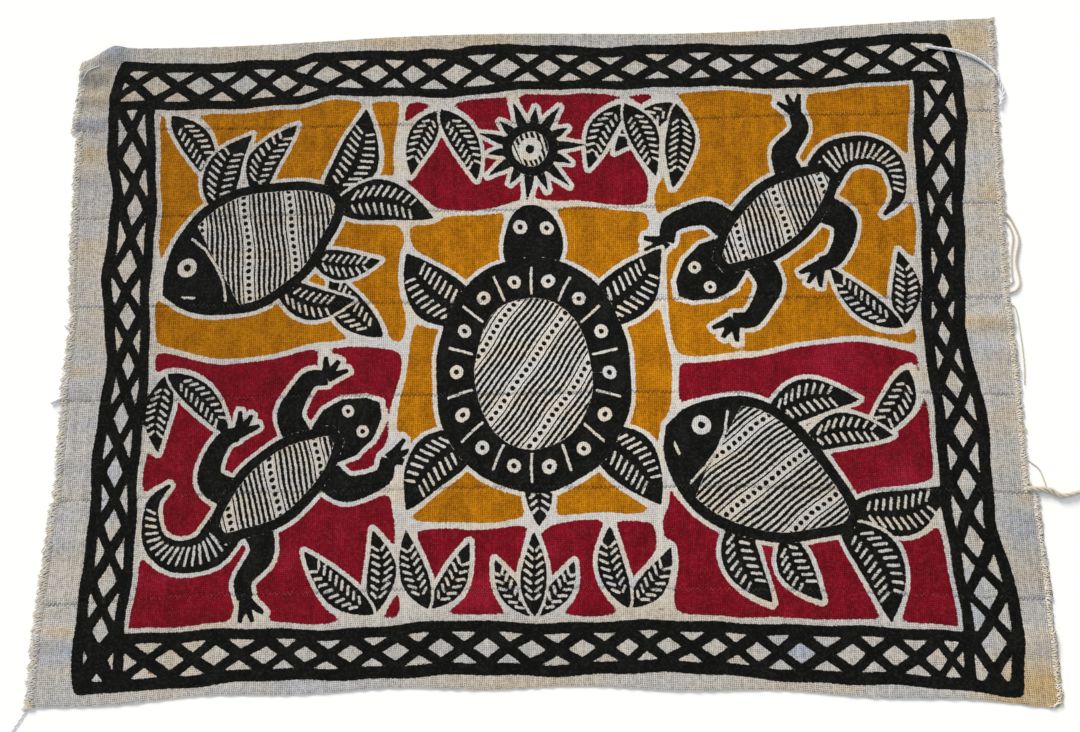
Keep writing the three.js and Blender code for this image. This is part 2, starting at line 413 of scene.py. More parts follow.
def paint_leaf(painting, centre, size, turn, flip, base, tip, width, bend=0.0):
    """A leaf given in a figure's unit sizes."""
    ends = placed([base, tip], centre, size, turn, flip)
    painting.fill(*leaf(ends[0], ends[1], width * size, bend * flip), LEAF_GAP)


def paint_limb(painting, where, route, widths, marked=False):
    """A limb given in a figure's unit sizes."""
    painting.fill(*limb(placed(route, *where), widths * where[1], marked))


EYE_STEPS = 18
PUPIL = 0.4
PUPIL_STEPS = 12


def paint_eye(painting, where, place, width):
    """A bare eye with a black pupil, given in a figure's unit sizes."""
    centre = placed([place], *where)[0]
    painting.blank(placed(ellipse(1.0, 1.0, EYE_STEPS), centre, width * where[1]))
    painting.fill(placed(ellipse(PUPIL, PUPIL, PUPIL_STEPS), centre, width * where[1]))


BODY_STEPS = 25


def both_sides(x, half):
    """A closed outline from half widths on both sides of a straight middle line."""
    upper = np.stack([x, half], axis=1)
    lower = np.stack([x, -half], axis=1)
    return np.vstack([upper, lower[::-1]])


# The figures, in unit sizes: each is about 1 long before it is set down on the cloth
FISH_FINS = rows("base tip width bend", [
    ((0.02, 0.17), (-0.27, 0.35), 0.13, -0.12),
    ((0.18, 0.17), (-0.1, 0.42), 0.15, -0.14),
    ((-0.05, -0.15), (-0.29, -0.31), 0.12, 0.1),
    ((0.12, -0.18), (-0.13, -0.4), 0.14, 0.14),
    ((-0.22, 0.02), (-0.54, 0.27), 0.17, 0.14),
    ((-0.22, -0.02), (-0.54, -0.27), 0.17, -0.14),
])
FISH_HEAD = 0.25
FISH_GILL = [(0.31, 0.15), (0.285, 0.08), (0.278, 0.0), (0.285, -0.08), (0.31, -0.15)]
FISH_MOUTH = [(0.5, -0.02), (0.45, -0.035), (0.4, -0.07)]
FISH_EYE = dict(place=(0.375, 0.055), width=0.075)
FISH_HATCH_TURN = 24


def fish_outline():
    """A pointed nose, a deep belly and a narrow root of the tail."""
    share = np.linspace(0, 1, BODY_STEPS)
    half = 0.235 * np.sin(np.pi * share ** 0.8) ** 0.85 + 0.035 * share
    return both_sides(0.5 - 0.78 * share, half)[:-1]


def paint_fish(painting, centre, size, turn, flip):
    """A hatched fish with a black head and leaf-like fins."""
    where = (centre, size, turn, flip)
    for fin in FISH_FINS:
        paint_leaf(painting, *where, **fin)
    outline = fish_outline()
    painting.body(placed(outline, *where), turn + flip * math.radians(FISH_HATCH_TURN))
    head = outline[outline[:, 0] > FISH_HEAD]
    painting.fill(placed(head, *where), [placed(FISH_GILL, *where), placed(FISH_MOUTH, *where)])
    paint_eye(painting, where, **FISH_EYE)


# A lizard's legs: where each runs, and the way its foot points
LIZARD_LEGS = [
    dict(route=[(0.16, 0.07), (0.2, 0.19), (0.33, 0.24), (0.4, 0.2)], toward=20),
    dict(route=[(0.16, -0.07), (0.2, -0.19), (0.33, -0.24), (0.4, -0.2)], toward=-20),
    dict(route=[(-0.15, 0.07), (-0.18, 0.2), (-0.06, 0.28), (0.0, 0.27)], toward=10),
    dict(route=[(-0.15, -0.07), (-0.2, -0.17), (-0.32, -0.2), (-0.36, -0.26)], toward=-110),
]
LIZARD_LEG_WIDTHS = np.array([0.12, 0.1, 0.075, 0.06])
LIZARD_TAIL = [(-0.22, 0.0), (-0.36, -0.02), (-0.46, 0.04), (-0.49, 0.15), (-0.42, 0.25), (-0.31, 0.27)]
LIZARD_TAIL_WIDTHS = np.array([0.16, 0.15, 0.125, 0.09, 0.06, 0.012])
LIZARD_TOES = (-34, 0, 34)
LIZARD_TOE_LENGTH = 0.09
LIZARD_TOE_WIDTHS = np.array([0.042, 0.016])
LIZARD_HEAD = [(0.22, 0.085), (0.3, 0.115), (0.39, 0.1), (0.47, 0.05), (0.5, 0.0), (0.47, -0.05),
               (0.39, -0.1), (0.3, -0.115), (0.22, -0.085)]
LIZARD_EYES = [(0.375, -0.05), (0.375, 0.05)]
LIZARD_EYE_WIDTH = 0.05
LIZARD_HATCH_TURN = -24


def lizard_outline():
    """A long body that narrows evenly to both ends."""
    share = np.linspace(0, 1, BODY_STEPS)
    return both_sides(0.3 - 0.6 * share, 0.15 * np.sin(np.pi * (0.06 + 0.88 * share)) ** 0.8)


def paint_lizard(painting, centre, size, turn, flip):
    """A hatched lizard with a black head and legs and a ringed tail."""
    where = (centre, size, turn, flip)
    paint_limb(painting, where, LIZARD_TAIL, LIZARD_TAIL_WIDTHS, marked=True)
    for leg in LIZARD_LEGS:
        paint_limb(painting, where, leg["route"], LIZARD_LEG_WIDTHS)
        foot = np.array(leg["route"][-1])
        for spread in LIZARD_TOES:
            angle = math.radians(leg["toward"] + spread)
            tip = foot + LIZARD_TOE_LENGTH * np.array([math.cos(angle), math.sin(angle)])
            paint_limb(painting, where, [foot, tip], LIZARD_TOE_WIDTHS)
    painting.fill(placed(LIZARD_HEAD, *where))
    painting.body(placed(lizard_outline(), *where), turn + flip * math.radians(LIZARD_HATCH_TURN))
    for eye in LIZARD_EYES:
        paint_eye(painting, where, eye, LIZARD_EYE_WIDTH)


TORTOISE_LIMBS = rows("base tip width bend", [
    ((-0.22, 0.24), (-0.58, 0.56), 0.25, 0.12),
    ((0.22, 0.24), (0.58, 0.56), 0.25, -0.12),
    ((-0.22, -0.26), (-0.56, -0.6), 0.23, -0.12),
    ((0.22, -0.26), (0.56, -0.6), 0.23, 0.12),
    ((0.0, -0.42), (0.03, -0.68), 0.12, 0.05),
])
# The tortoise's ovals as full widths and heights, and its shell's plates
TORTOISE_HEAD = dict(width=0.27, height=0.36, steps=32)
TORTOISE_NECK = (0.0, 0.61)
TORTOISE_EYES = [(-0.062, 0.68), (0.062, 0.68)]
TORTOISE_EYE_WIDTH = 0.066
SHELL = (0.88, 1.08)
SHELL_RIM = (0.86, 1.06)
SHELL_MIDDLE = (0.53, 0.7)
SHELL_HATCH_TURN = -35
SHELL_PLATES = 14
SPOKE_START = (0.57, 0.74)
SPOKE_END = (0.84, 1.04)
PLATE_RING = (0.69, 0.87)
PLATE_DOT = 0.062


def on_oval(oval, angle):
    """A point on an oval of a given width and height."""
    return (oval[0] / 2 * math.cos(angle), oval[1] / 2 * math.sin(angle))


def paint_tortoise(painting, centre, size):
    """A tortoise seen from above: a hatched shell in a black rim of spokes and dots."""
    where = (centre, size)
    for part in TORTOISE_LIMBS:
        paint_leaf(painting, centre, size, 0.0, 1, **part)
    painting.fill(placed(ellipse(**TORTOISE_HEAD) + TORTOISE_NECK, *where))
    for eye in TORTOISE_EYES:
        paint_eye(painting, where, eye, TORTOISE_EYE_WIDTH)
    painting.body(placed(ellipse(*SHELL), *where), math.radians(SHELL_HATCH_TURN))
    spokes = []
    for plate in range(SHELL_PLATES):
        angle = 2 * math.pi * (plate + 0.5) / SHELL_PLATES
        spokes.append(placed([on_oval(SPOKE_START, angle), on_oval(SPOKE_END, angle)], *where))
    painting.fill(placed(loop_ring(ellipse(*SHELL_RIM), ellipse(*SHELL_MIDDLE)), *where), spokes)
    for plate in range(SHELL_PLATES):
        paint_eye(painting, where, on_oval(PLATE_RING, 2 * math.pi * plate / SHELL_PLATES), PLATE_DOT)


def loop_ring(outer, inner):
    """One loop round the space between two loops."""
    return np.vstack([outer, outer[:1], inner[:1], inner[::-1]])


SUN_RAYS = 14
SUN_RAY = dict(start=0.2, long=0.5, short=0.41, turn=0.25)
SUN_RAY_WIDTHS = np.array([0.11, 0.075, 0.01])
SUN_DISC = 0.52
SUN_MIDDLE = 0.22
SUN_HATCH_TURN = 20


def paint_sun(painting, centre, size):
    """A hatched disc with long and short black rays."""
    where = (centre, size)
    for ray in range(SUN_RAYS):
        angle = 2 * math.pi * (ray + SUN_RAY["turn"]) / SUN_RAYS
        reach = SUN_RAY["long"] if ray % 2 == 0 else SUN_RAY["short"]
        toward = np.array([math.cos(angle), math.sin(angle)])
        paint_limb(painting, where, [SUN_RAY["start"] * toward, reach * toward], SUN_RAY_WIDTHS)
    painting.body(placed(ellipse(SUN_DISC, SUN_DISC), *where), math.radians(SUN_HATCH_TURN))
    paint_eye(painting, where, (0.0, 0.0), SUN_MIDDLE)


# Leaf sprays: each leaf's base, tip, width and bend
SPRAYS = dict(
    three=[((0.0, 0.0), (-0.5, 0.66), 0.28, 0.08), ((0.0, 0.0), (0.5, 0.66), 0.28, -0.08),
           ((0.0, 0.0), (0.02, 1.0), 0.32, 0.03)],
    two=[((0.0, 0.0), (0.46, 0.74), 0.3, -0.08), ((0.0, 0.0), (-0.26, 0.95), 0.32, 0.08)],
    one=[((0.0, 0.0), (0.0, 1.0), 0.36, 0.08)],
)


def paint_spray(painting, kind, base, size, turn):
    """Pointed leaves that rise from one place."""
    for start, tip, width, bend in SPRAYS[kind]:
        paint_leaf(painting, base, size, turn, 1, start, tip, width, bend)


# The painted border: places along each side, and the edge of the outer and the inner line there
OUTER_EDGE = dict(
    top=[(-572, 418), (-471, 414), (-387, 415), (-322, 413), (-300, 421), (-250, 426), (-140, 425),
         (-112, 421), (-84, 427), (25, 427), (107, 421), (349, 419), (450, 424), (561, 432)],
    bottom=[(-564, -428), (-494, -416), (-346, -408), (-199, -402), (19, -400), (91, -397),
            (234, -401), (375, -411), (514, -420), (578, -428)],
    left=[(-410, -567), (-259, -566), (-209, -561), (-108, -561), (-3, -556), (51, -562), (105, -568),
          (217, -566), (275, -575), (333, -577), (380, -577), (410, -572)],
    right=[(-410, 581), (-314, 580), (-267, 572), (-219, 564), (-71, 561), (-20, 552), (32, 549),
           (137, 554), (192, 558), (247, 569), (303, 574), (360, 571), (410, 563)],
)
INNER_EDGE = dict(
    top=[(-512, 343), (-384, 346), (-318, 347), (-273, 357), (-151, 357), (-108, 352), (-28, 358),
         (60, 361), (180, 358), (335, 354), (503, 358)],
    bottom=[(-507, -347), (-250, -343), (-80, -336), (110, -337), (270, -338), (420, -347), (508, -349)],
    left=[(-410, -499), (-347, -504), (-200, -500), (0, -499), (200, -504), (343, -512)],
    right=[(-349, 510), (-200, 500), (0, 494), (200, 501), (354, 506)],
)
FRAME_LINE = 14.4
INNER_LINE = 13.0
LATTICE_LINE = 12.2
# Each side's lattice: where it starts, its crosses, the last one's length, how far its middle drifts and how
# much thicker its lines are at the last cross.
LATTICES = dict(
    top=dict(first=-572, last=551, crosses=19, squeezed=59, drift=0, blot=0.0),
    bottom=dict(first=-504, last=512, crosses=19, squeezed=28, drift=10, blot=0.0),
    left=dict(first=-352, last=413, crosses=11, squeezed=70, drift=21, blot=0.85),
    right=dict(first=-358, last=430, crosses=12, squeezed=66, drift=15, blot=0.0),
)
BORDER_SEED = 11
LATTICE_UNEVENNESS = 4.6
LINE_UNEVENNESS = 0.14
BLOT_REACH = 0.6
CORNER_ROUNDING = 12.0
BLEED = 1.2


def border_lines(points, table):
    """Where the four sides run beside or over each point."""
    x, y = points.T
    along = dict(top=x, bottom=x, left=y, right=y)
    return {side: np.interp(along[side], *np.array(places, float).T) for side, places in table.items()}


def lattice(along, depth, height, first, last, crosses, squeezed, drift, blot, random):
    """Two crossing zigzags between one side's lines, with uneven joints."""
    share = np.linspace(0, 1, crosses)
    joints = first + (last - squeezed - first) * share + 4 * drift * share * (1 - share)
    joints[1:] += random.uniform(-LATTICE_UNEVENNESS, LATTICE_UNEVENNESS, crosses - 1)
    joints = np.append(joints, last)
    run = height - FRAME_LINE - INNER_LINE
    share = (depth - INNER_LINE) / run
    pitch = abs(last - first) / crosses
    lean = pitch / np.hypot(pitch, run)
    blotted = blot * soft_bump((along - last + squeezed / 2) / (BLOT_REACH * squeezed))
    best = np.full(len(along), FAR)
    for start in (0, 1):
        target = np.interp(along, joints, (np.arange(crosses + 1) + start) % 2)
        uneven = LINE_UNEVENNESS * np.sin(along / 23 + 3 * start) * np.sin(along / 61)
        thick = LATTICE_LINE * (1 + uneven + blotted)
        best = np.minimum(best, np.abs(share - target) * run * lean - thick / 2)
    return np.maximum(best, np.maximum(joints[0] - along, along - joints[-1]))


def paint_border(painting):
    """The black frame, the lattice on its four sides and the rail inside it."""
    random = np.random.default_rng(BORDER_SEED)
    points = painting.points
    x, y = points.T
    outer = border_lines(points, OUTER_EDGE)
    inner = border_lines(points, INNER_EDGE)
    outside = soft_meet(np.maximum(y - outer["top"], outer["bottom"] - y),
                        np.maximum(x - outer["right"], outer["left"] - x), CORNER_ROUNDING)
    sides = dict(
        top=(x, y - inner["top"], outer["top"] - inner["top"]),
        bottom=(x, inner["bottom"] - y, inner["bottom"] - outer["bottom"]),
        left=(-y, inner["left"] - x, inner["left"] - outer["left"]),
        right=(-y, x - inner["right"], outer["right"] - inner["right"]),
    )
    painting.field = np.maximum.reduce([depth for along, depth, height in sides.values()])
    black = np.abs(outside + FRAME_LINE / 2) - FRAME_LINE / 2
    for side, (along, depth, height) in sides.items():
        crossing = lattice(along, depth, height, **LATTICES[side], random=random)
        rail = np.abs(depth - INNER_LINE / 2) - INNER_LINE / 2
        before = LATTICES[side]["first"] - INNER_LINE - along
        beyond = along - LATTICES[side]["last"] - INNER_LINE
        rail = np.maximum(rail, np.maximum(before, beyond))
        drawn = soft_join(crossing, rail, BLEED)
        drawn = np.maximum(drawn, np.maximum(-depth, depth - height))
        if side in ("left", "right"):
            drawn = np.maximum(drawn, y - inner["top"])
        black = soft_join(black, drawn, BLEED)
    painting.black = np.minimum(painting.black, np.maximum(black, outside))


# The painted field: grounds of two colours with figures on them
COLUMN_EDGE = 168.0
COLUMN_WAVE = 11
# Lines that part the grounds: their heights at the sides and in the middle, and how far they wave
ROW_HEIGHTS = dict(left=4, right=-4, upper=192, lower=-216)
SIDE_ROW_WAVE = 12
MIDDLE_ROW_WAVE = 7
GROUND_GAP = 5.0
GROUND_ROUNDING = 10.0
OCHRE_SPLASH = dict(x=-468, y=-393, radius=2.8)


def paint_grounds(painting):
    """Ochre and crimson grounds with bare lines between them and round the figures."""
    x, y = painting.points.T
    left_edge = -COLUMN_EDGE + COLUMN_WAVE * np.sin(y / 61 + 0.4)
    right_edge = COLUMN_EDGE + COLUMN_WAVE * np.sin(y / 66 + 2.1)
    over_left = y - ROW_HEIGHTS["left"] - SIDE_ROW_WAVE * np.sin(x / 48)
    over_right = y - ROW_HEIGHTS["right"] - SIDE_ROW_WAVE * np.sin(x / 56 + 1.0)
    over_upper = y - ROW_HEIGHTS["upper"] - MIDDLE_ROW_WAVE * np.sin(x / 45 + 0.7)
    over_lower = y - ROW_HEIGHTS["lower"] - MIDDLE_ROW_WAVE * np.sin(x / 52)
    left = x - left_edge
    right = right_edge - x
    centre = np.maximum(left_edge - x, x - right_edge)
    kept = soft_meet(painting.field + BORDER_RESERVE, RESERVE_WIDTH - painting.figure, GROUND_ROUNDING)

    def laid(*grounds):
        shapes = [soft_meet(*edges, GROUND_ROUNDING) for edges in grounds]
        return soft_meet(np.minimum.reduce(shapes) + GROUND_GAP / 2, kept, GROUND_ROUNDING)

    middle = soft_meet(centre, over_upper, GROUND_ROUNDING)
    ochre = laid((left, -over_left), (right, -over_right), (middle, -over_lower))
    splash = np.hypot(x - OCHRE_SPLASH["x"], y - OCHRE_SPLASH["y"]) - OCHRE_SPLASH["radius"]
    painting.ochre = np.minimum(ochre, splash)
    painting.crimson = laid((left, over_left), (right, over_right),
                            (centre, -over_upper), (centre, over_lower))


# Where the figures stand: their place, size and turn in degrees
SPRAY_PLACES = [
    ("one", (-488, 336), 118, 212),
    ("one", (-192, 22), 118, 40),
    ("two", (-474, -22), 120, 210),
    ("two", (-196, -326), 118, 34),
    ("two", (194, 334), 122, 160),
    ("two", (470, 22), 118, 32),
    ("one", (472, -32), 108, 146),
    ("two", (-120, 338), 118, 188),
    ("two", (122, 340), 118, 186),
    ("three", (0, -328), 100, 0),
    ("two", (-128, -324), 106, 2),
    ("two", (112, -324), 106, -6),
]
FISH_PLACES = [((-336, 168), 340, 30), ((312, -176), 336, -28)]
LIZARD_PLACES = [((-322, -168), 328, 40), ((316, 174), 332, 220)]
SUN_PLACE = ((0, 274), 142)
TORTOISE_PLACE = ((0, -28), 286)
SLOW_WANDER = 2.0
QUICK_WANDER = 0.9


def hand_drawn(points):
    """Shifts points a little, so that every painted line wanders as a hand-drawn one does."""
    x, y = points.T
    dx = SLOW_WANDER * np.sin(y / 37 + 1.1 * np.sin(x / 71)) + QUICK_WANDER * np.sin(y / 13 + x / 29)
    dy = SLOW_WANDER * np.sin(x / 41 + 1.2 * np.sin(y / 67)) + QUICK_WANDER * np.sin(x / 14 + y / 31)
    return points + np.stack([dx, dy], axis=1)


def paint_at(points):
    """The painting at a set of plan points on the cloth."""
    painting = Painting(hand_drawn(points))
    for kind, base, size, turn in SPRAY_PLACES:
        paint_spray(painting, kind, base, size, math.radians(turn))
    for centre, size, turn in FISH_PLACES:
        paint_fish(painting, centre, size, math.radians(turn), -1)
    for centre, size, turn in LIZARD_PLACES:
        paint_lizard(painting, centre, size, math.radians(turn), 1)
    paint_sun(painting, *SUN_PLACE)
    paint_tortoise(painting, *TORTOISE_PLACE)
    paint_border(painting)
    paint_grounds(painting)
    return painting


# Meshes
def to_frame(points):
    """Cloth millimetres to the frame's metres."""
    return (np.asarray(points, float) + (*CLOTH_SHIFT, 0.0)) * MM


def add_object(name, data):
    """A new object in the scene."""
    thing = bpy.data.objects.new(name, data)
    bpy.context.scene.collection.objects.link(thing)
    return thing


def new_piece(name, points, faces, material, smooth=True):
    mesh = bpy.data.meshes.new(name)
    mesh.from_pydata(to_frame(points), [], faces)
    mesh.polygons.foreach_set("use_smooth", np.broadcast_to(smooth, len(mesh.polygons)).tolist())
    mesh.update()
    mesh.materials.append(material)
    return add_object(name, mesh)


def store(piece, name, values):
    """Keeps a number or a vector at each point, for the materials."""
    values = np.asarray(values, np.float32)
    kind = "FLOAT" if values.ndim == 1 else "FLOAT_VECTOR"
    layer = piece.data.attributes.new(name, kind, "POINT")
    layer.data.foreach_set("value" if kind == "FLOAT" else "vector", values.ravel())


PAINT_LAYERS = ("black", "crimson", "ochre", "hatch", "hatch_across", "hatch_along")


def store_painting(piece, painting, pick=slice(None), bare=0):
    """The painting's layers at a piece's points, of which the last ones are bare."""
    for name in PAINT_LAYERS:
        store(piece, name, np.concatenate([getattr(painting, name)[pick], np.full(bare, FAR)]))


def tubes(paths, radii, sides):
    """Thin round threads along paths of equal length, with closed ends."""
    paths = np.asarray(paths, float)
    count, steps, _ = paths.shape
    radii = np.broadcast_to(radii, (count, steps))
    toward = direction(paths)
    sideways = np.cross((0.0, 0.0, 1.0), toward)
    sideways /= np.maximum(np.linalg.norm(sideways, axis=2, keepdims=True), 1e-6)
    upward = np.cross(toward, sideways)
    angle = 2 * np.pi * np.arange(sides) / sides
    ring = np.cos(angle)[:, None] * sideways[:, :, None] + np.sin(angle)[:, None] * upward[:, :, None]
    points = paths[:, :, None] + radii[:, :, None, None] * ring
    index = np.arange(count * steps * sides).reshape(count, steps, sides)
    turned = np.roll(index, -1, axis=2)
    quads = np.stack([index[:, :-1], turned[:, :-1], turned[:, 1:], index[:, 1:]], axis=-1).reshape(-1, 4)
    faces = quads.tolist()
    faces += index[:, 0, ::-1].tolist()
    faces += index[:, -1].tolist()
    return points.reshape(-1, 3), faces


# Woven strips
STRIP_SEED = 70
RAGGED_REACH = 6.0
RAGGED_SHARES = (0.55, 1.0)
END_THINNING = 0.8
SEAM_DIP = 0.5
SEAM_DIP_WIDTH = 2.2
PUCKER = 0.45
PUCKER_REACH = 9.0
SHARP_ANGLE = 50


def strip_surface(index):
    """Plan points and heights of a strip's upper face, column by column."""
    share = np.broadcast_to(np.linspace(0, 1, ROWS), (COLUMNS, ROWS))
    along = np.linspace(0, 1, COLUMNS)[:, None]
    random = np.random.default_rng(STRIP_SEED + index)
    left = strip_end(index, -1, share) - RAGGED_REACH * random.uniform(*RAGGED_SHARES, ROWS)
    right = strip_end(index, 1, share) + RAGGED_REACH * random.uniform(*RAGGED_SHARES, ROWS)
    x = left * (1 - along) + right * along
    y = strip_point(index, x, share)
    from_upper = STRIP_WIDTH * share
    from_lower = STRIP_WIDTH * (1 - share)
    top = cloth_top(x, y)
    for from_end in (x - left, right - x):
        top = top - END_THINNING * soft_bump(from_end / RAGGED_REACH)
    for seam, distance in ((index, from_upper), (index + 1, from_lower)):
        top = top - SEAM_DIP * np.exp(-(distance / SEAM_DIP_WIDTH) ** 2)
        gathered = np.sin(x / 3.3 + seam + 1.5 * np.sin(x / 17)) * np.sin(x / 31 + 2 * seam)
        top = top + PUCKER * gathered * np.exp(-(distance / PUCKER_REACH) ** 2)
    return x, y, top, from_upper


def grid_faces(grid):
    """Quads between the neighbours in a grid of point numbers."""
    return np.stack([grid[:-1, :-1], grid[:-1, 1:], grid[1:, 1:], grid[1:, :-1]], axis=-1).reshape(-1, 4)


def strip_faces():
    """Faces of a closed sheet: a fine upper face, a coarser underside and a rim between them."""
    top = np.arange(COLUMNS * ROWS).reshape(COLUMNS, ROWS)
    quads = grid_faces(top)
    under_columns = np.arange(0, COLUMNS, UNDERSIDE_COLUMN_STEP)
    under_rows = np.arange(0, ROWS, UNDERSIDE_ROW_STEP)
    under = np.arange(len(under_columns) * len(under_rows)).reshape(len(under_columns), -1)
    under = under + COLUMNS * ROWS
    under_quads = grid_faces(under)[:, [0, 3, 2, 1]]
    rim = []
    for i in range(len(under_columns) - 1):
        a, b = under_columns[i], under_columns[i + 1]
        rim.append([*top[a:b + 1, 0], under[i + 1, 0], under[i, 0]])
        rim.append([*top[a:b + 1, -1][::-1], under[i, -1], under[i + 1, -1]])
    for j in range(len(under_rows) - 1):
        a, b = under_rows[j], under_rows[j + 1]
        rim.append([*top[0, a:b + 1][::-1], under[0, j], under[0, j + 1]])
        rim.append([*top[-1, a:b + 1], under[-1, j + 1], under[-1, j]])
    counts = (len(quads), len(under_quads), len(rim))
    return quads.tolist() + under_quads.tolist() + rim, counts, under_columns, under_rows


# Shares of the bake map's height, and of a cell that a rim face fills
UV_BANDS = 4
UV_TOP_SHARE = 0.92
UV_UNDER_SHARE = 0.05
UV_RIM_SHARE = 0.03
UV_INSET = 0.1
UV_FILL = 0.9


def map_strip(piece, counts):
    """A bake map with the upper face in stacked bands, the underside above them and the rim on top."""
    mesh = piece.data
    layer = mesh.uv_layers.new(name="OFBake")
    corner = np.zeros(len(mesh.loops), int)
    mesh.loops.foreach_get("vertex_index", corner)
    column, row = np.divmod(corner, ROWS)
    uv = np.zeros((len(corner), 2))
    top_end = 4 * counts[0]
    under_end = top_end + 4 * counts[1]
    first_column = np.repeat(column[:top_end].reshape(-1, 4).min(axis=1), 4)
    band_columns = (COLUMNS - 1) / UV_BANDS
    band = np.floor(first_column / band_columns)
    uv[:top_end, 0] = column[:top_end] / band_columns - band
    uv[:top_end, 1] = (band + row[:top_end] / (ROWS - 1)) / UV_BANDS * UV_TOP_SHARE
    rows_under = len(range(0, ROWS, UNDERSIDE_ROW_STEP))
    columns_under = len(range(0, COLUMNS, UNDERSIDE_COLUMN_STEP))
    under = corner[top_end:under_end] - COLUMNS * ROWS
    uv[top_end:under_end, 0] = under // rows_under / (columns_under - 1)
    uv[top_end:under_end, 1] = UV_TOP_SHARE + (UV_UNDER_SHARE * (under % rows_under)) / (rows_under - 1)
    start = under_end
    for cell, polygon in enumerate(mesh.polygons[counts[0] + counts[1]:]):
        size = polygon.loop_total
        across = np.concatenate([np.linspace(0, UV_FILL, size - 2), [UV_FILL, 0.0]])
        down = np.concatenate([np.full(size - 2, UV_INSET), [UV_FILL, UV_FILL]])
        uv[start:start + size, 0] = (cell + across) / counts[2]
        uv[start:start + size, 1] = 1 - UV_RIM_SHARE * down
        start += size
    layer.data.foreach_set("uv", np.clip(uv, 0, 1).ravel())


# Warm (above 0) and cool (below 0) patches of the bare cotton, the warm ones stains, the cool ones painted
# shade with a painted shadow under the loose thread at the upper right: place, reach along and across,
# strength
STAINS_AND_SHADE = [
    (604, -424, 62, 30, 1.1), (548, -426, 40, 9, 0.5), (372, -414, 24, 8, 0.45), (560, -438, 40, 6, 0.5),
    (590, 414, 40, 26, 0.6), (592, 322, 26, 24, 0.35), (594, 199, 26, 30, 0.45), (566, 28, 46, 9, 0.75),
    (598, -196, 14, 14, 0.5), (-208, 438, 90, 8, 0.45), (-43, 436, 70, 8, 0.5), (330, 438, 160, 8, 0.3),
    (-606, 359, 50, 16, 0.5), (-602, 280, 40, 20, 0.45), (-600, 134, 36, 22, 0.25), (-592, -20, 46, 8, 0.45),
    (-586, -347, 24, 8, 0.85), (-560, 60, 40, 30, 0.15), (-584, 436, 26, 12, -0.9), (-600, 326, 40, 9, -0.4),
    (-586, 228, 34, 22, -0.35), (-596, 172, 26, 10, -0.35), (-606, -107, 30, 36, -0.3),
    (-606, -222, 34, 40, -0.35), (-592, -290, 36, 30, -0.2), (-604, -400, 44, 40, -0.2),
    (-570, -371, 17, 8, -0.6), (-520, -430, 70, 12, -0.3), (-294, -412, 50, 10, -0.3),
    (-205, -406, 40, 8, -0.1), (0, -408, 130, 8, 0.15), (566, -2, 44, 10, -0.6), (592, -232, 26, 26, -0.8),
    (588, -130, 30, 30, -0.25), (585, 385, 46, 11, -0.55), (580, 250, 30, 20, -0.25),
    (317, -375, 30, 20, -0.8), (528, -326, 24, 60, -0.5), (-545, -159, 20, 60, -0.5),
]
# Dull patches of the bare cotton, in the same form: painted shade, but for the one at the lower right corner,
# which darkens the stain there
SHADE_AND_STAIN_PATCHES = [
    (-560, 420, 190, 130, 0.1), (-600, 290, 60, 110, 0.06), (100, 438, 560, 14, 0.1),
    (596, -260, 40, 120, 0.13), (604, -424, 62, 30, 0.08), (-400, 220, 190, 170, 0.12),
    (-420, -40, 150, 110, 0.1),
]
# Painted light: how much brighter the cotton is inside the border, beyond a soft edge, and in the middle of
# the cloth
FIELD_PAINTED_LIGHT = 0.17
FIELD_EDGE = 20
PAINTED_LIGHT_MIDDLE = [(90, 10, 300, 250, 0.33)]


def patches(table, x, y):
    """The sum of soft round patches at each point."""
    total = np.zeros(x.shape)
    for cx, cy, along, across, strength in table:
        total = total + strength * np.exp(-(((x - cx) / along) ** 2 + ((y - cy) / across) ** 2))
    return total


def painted_light_at(x, y, field):
    """Painted light on the bare cotton: brightest in the middle of the painting, with painted shade and a
    stain in dull places near the edges.
    """
    inside = np.clip(-field / FIELD_EDGE, 0, 1)
    return 1 + inside * (FIELD_PAINTED_LIGHT + patches(PAINTED_LIGHT_MIDDLE, x, y)) - patches(SHADE_AND_STAIN_PATCHES, x, y)


def make_strip(index, material):
    """One woven strip as a closed sheet, with all that its material needs to know."""
    x, y, top, across = strip_surface(index)
    faces, counts, under_columns, under_rows = strip_faces()
    cut = np.ix_(under_columns, under_rows)
    upper = np.stack([x, y, top], axis=-1).reshape(-1, 3)
    lower = np.stack([x[cut], y[cut], lift(x[cut], y[cut])], axis=-1).reshape(-1, 3)
    smooth = np.arange(sum(counts)) < counts[0] + counts[1]
    piece = new_piece(f"cloth_strip_{index + 1}", np.vstack([upper, lower]), faces, material, smooth)
    piece.data.set_sharp_from_angle(angle=math.radians(SHARP_ANGLE))
    map_strip(piece, counts)
    bare = len(lower)
    painting = paint_at(upper[:, :2])
    store_painting(piece, painting, bare=bare)
    weave = np.stack([x, across + index * STRIP_WIDTH, np.full(x.shape, index)], axis=-1)
    store(piece, "weave", np.vstack([weave.reshape(-1, 3), weave[cut].reshape(-1, 3)]))
    # Painted light, brightest in the middle of the cloth, with painted shade in dull patches
    pale = painted_light_at(x.ravel(), y.ravel(), painting.field)
    # Warm stains and cool painted shade of the bare cotton, with a painted shadow under the loose thread
    tint = np.clip(patches(STAINS_AND_SHADE, x, y), -1, 1)
    store(piece, "tint", np.concatenate([tint.ravel(), np.zeros(bare)]))
    store(piece, "pale", np.concatenate([pale, np.ones(bare)]))
    return piece


# Whip-stitched seams
STITCH_STEP = 2.7
STITCH_HALF_WIDTH = 2.3
STITCH_RADIUS = 0.45
STITCH_SEED = 40
ZIGZAG = np.array([1.0, 0.0, -1.0, 0.0])
STITCH_SHIFT = 0.35
STITCH_UNEVENNESS = 0.5
STITCH_SINK = 0.3
THREAD_SIDES = 5


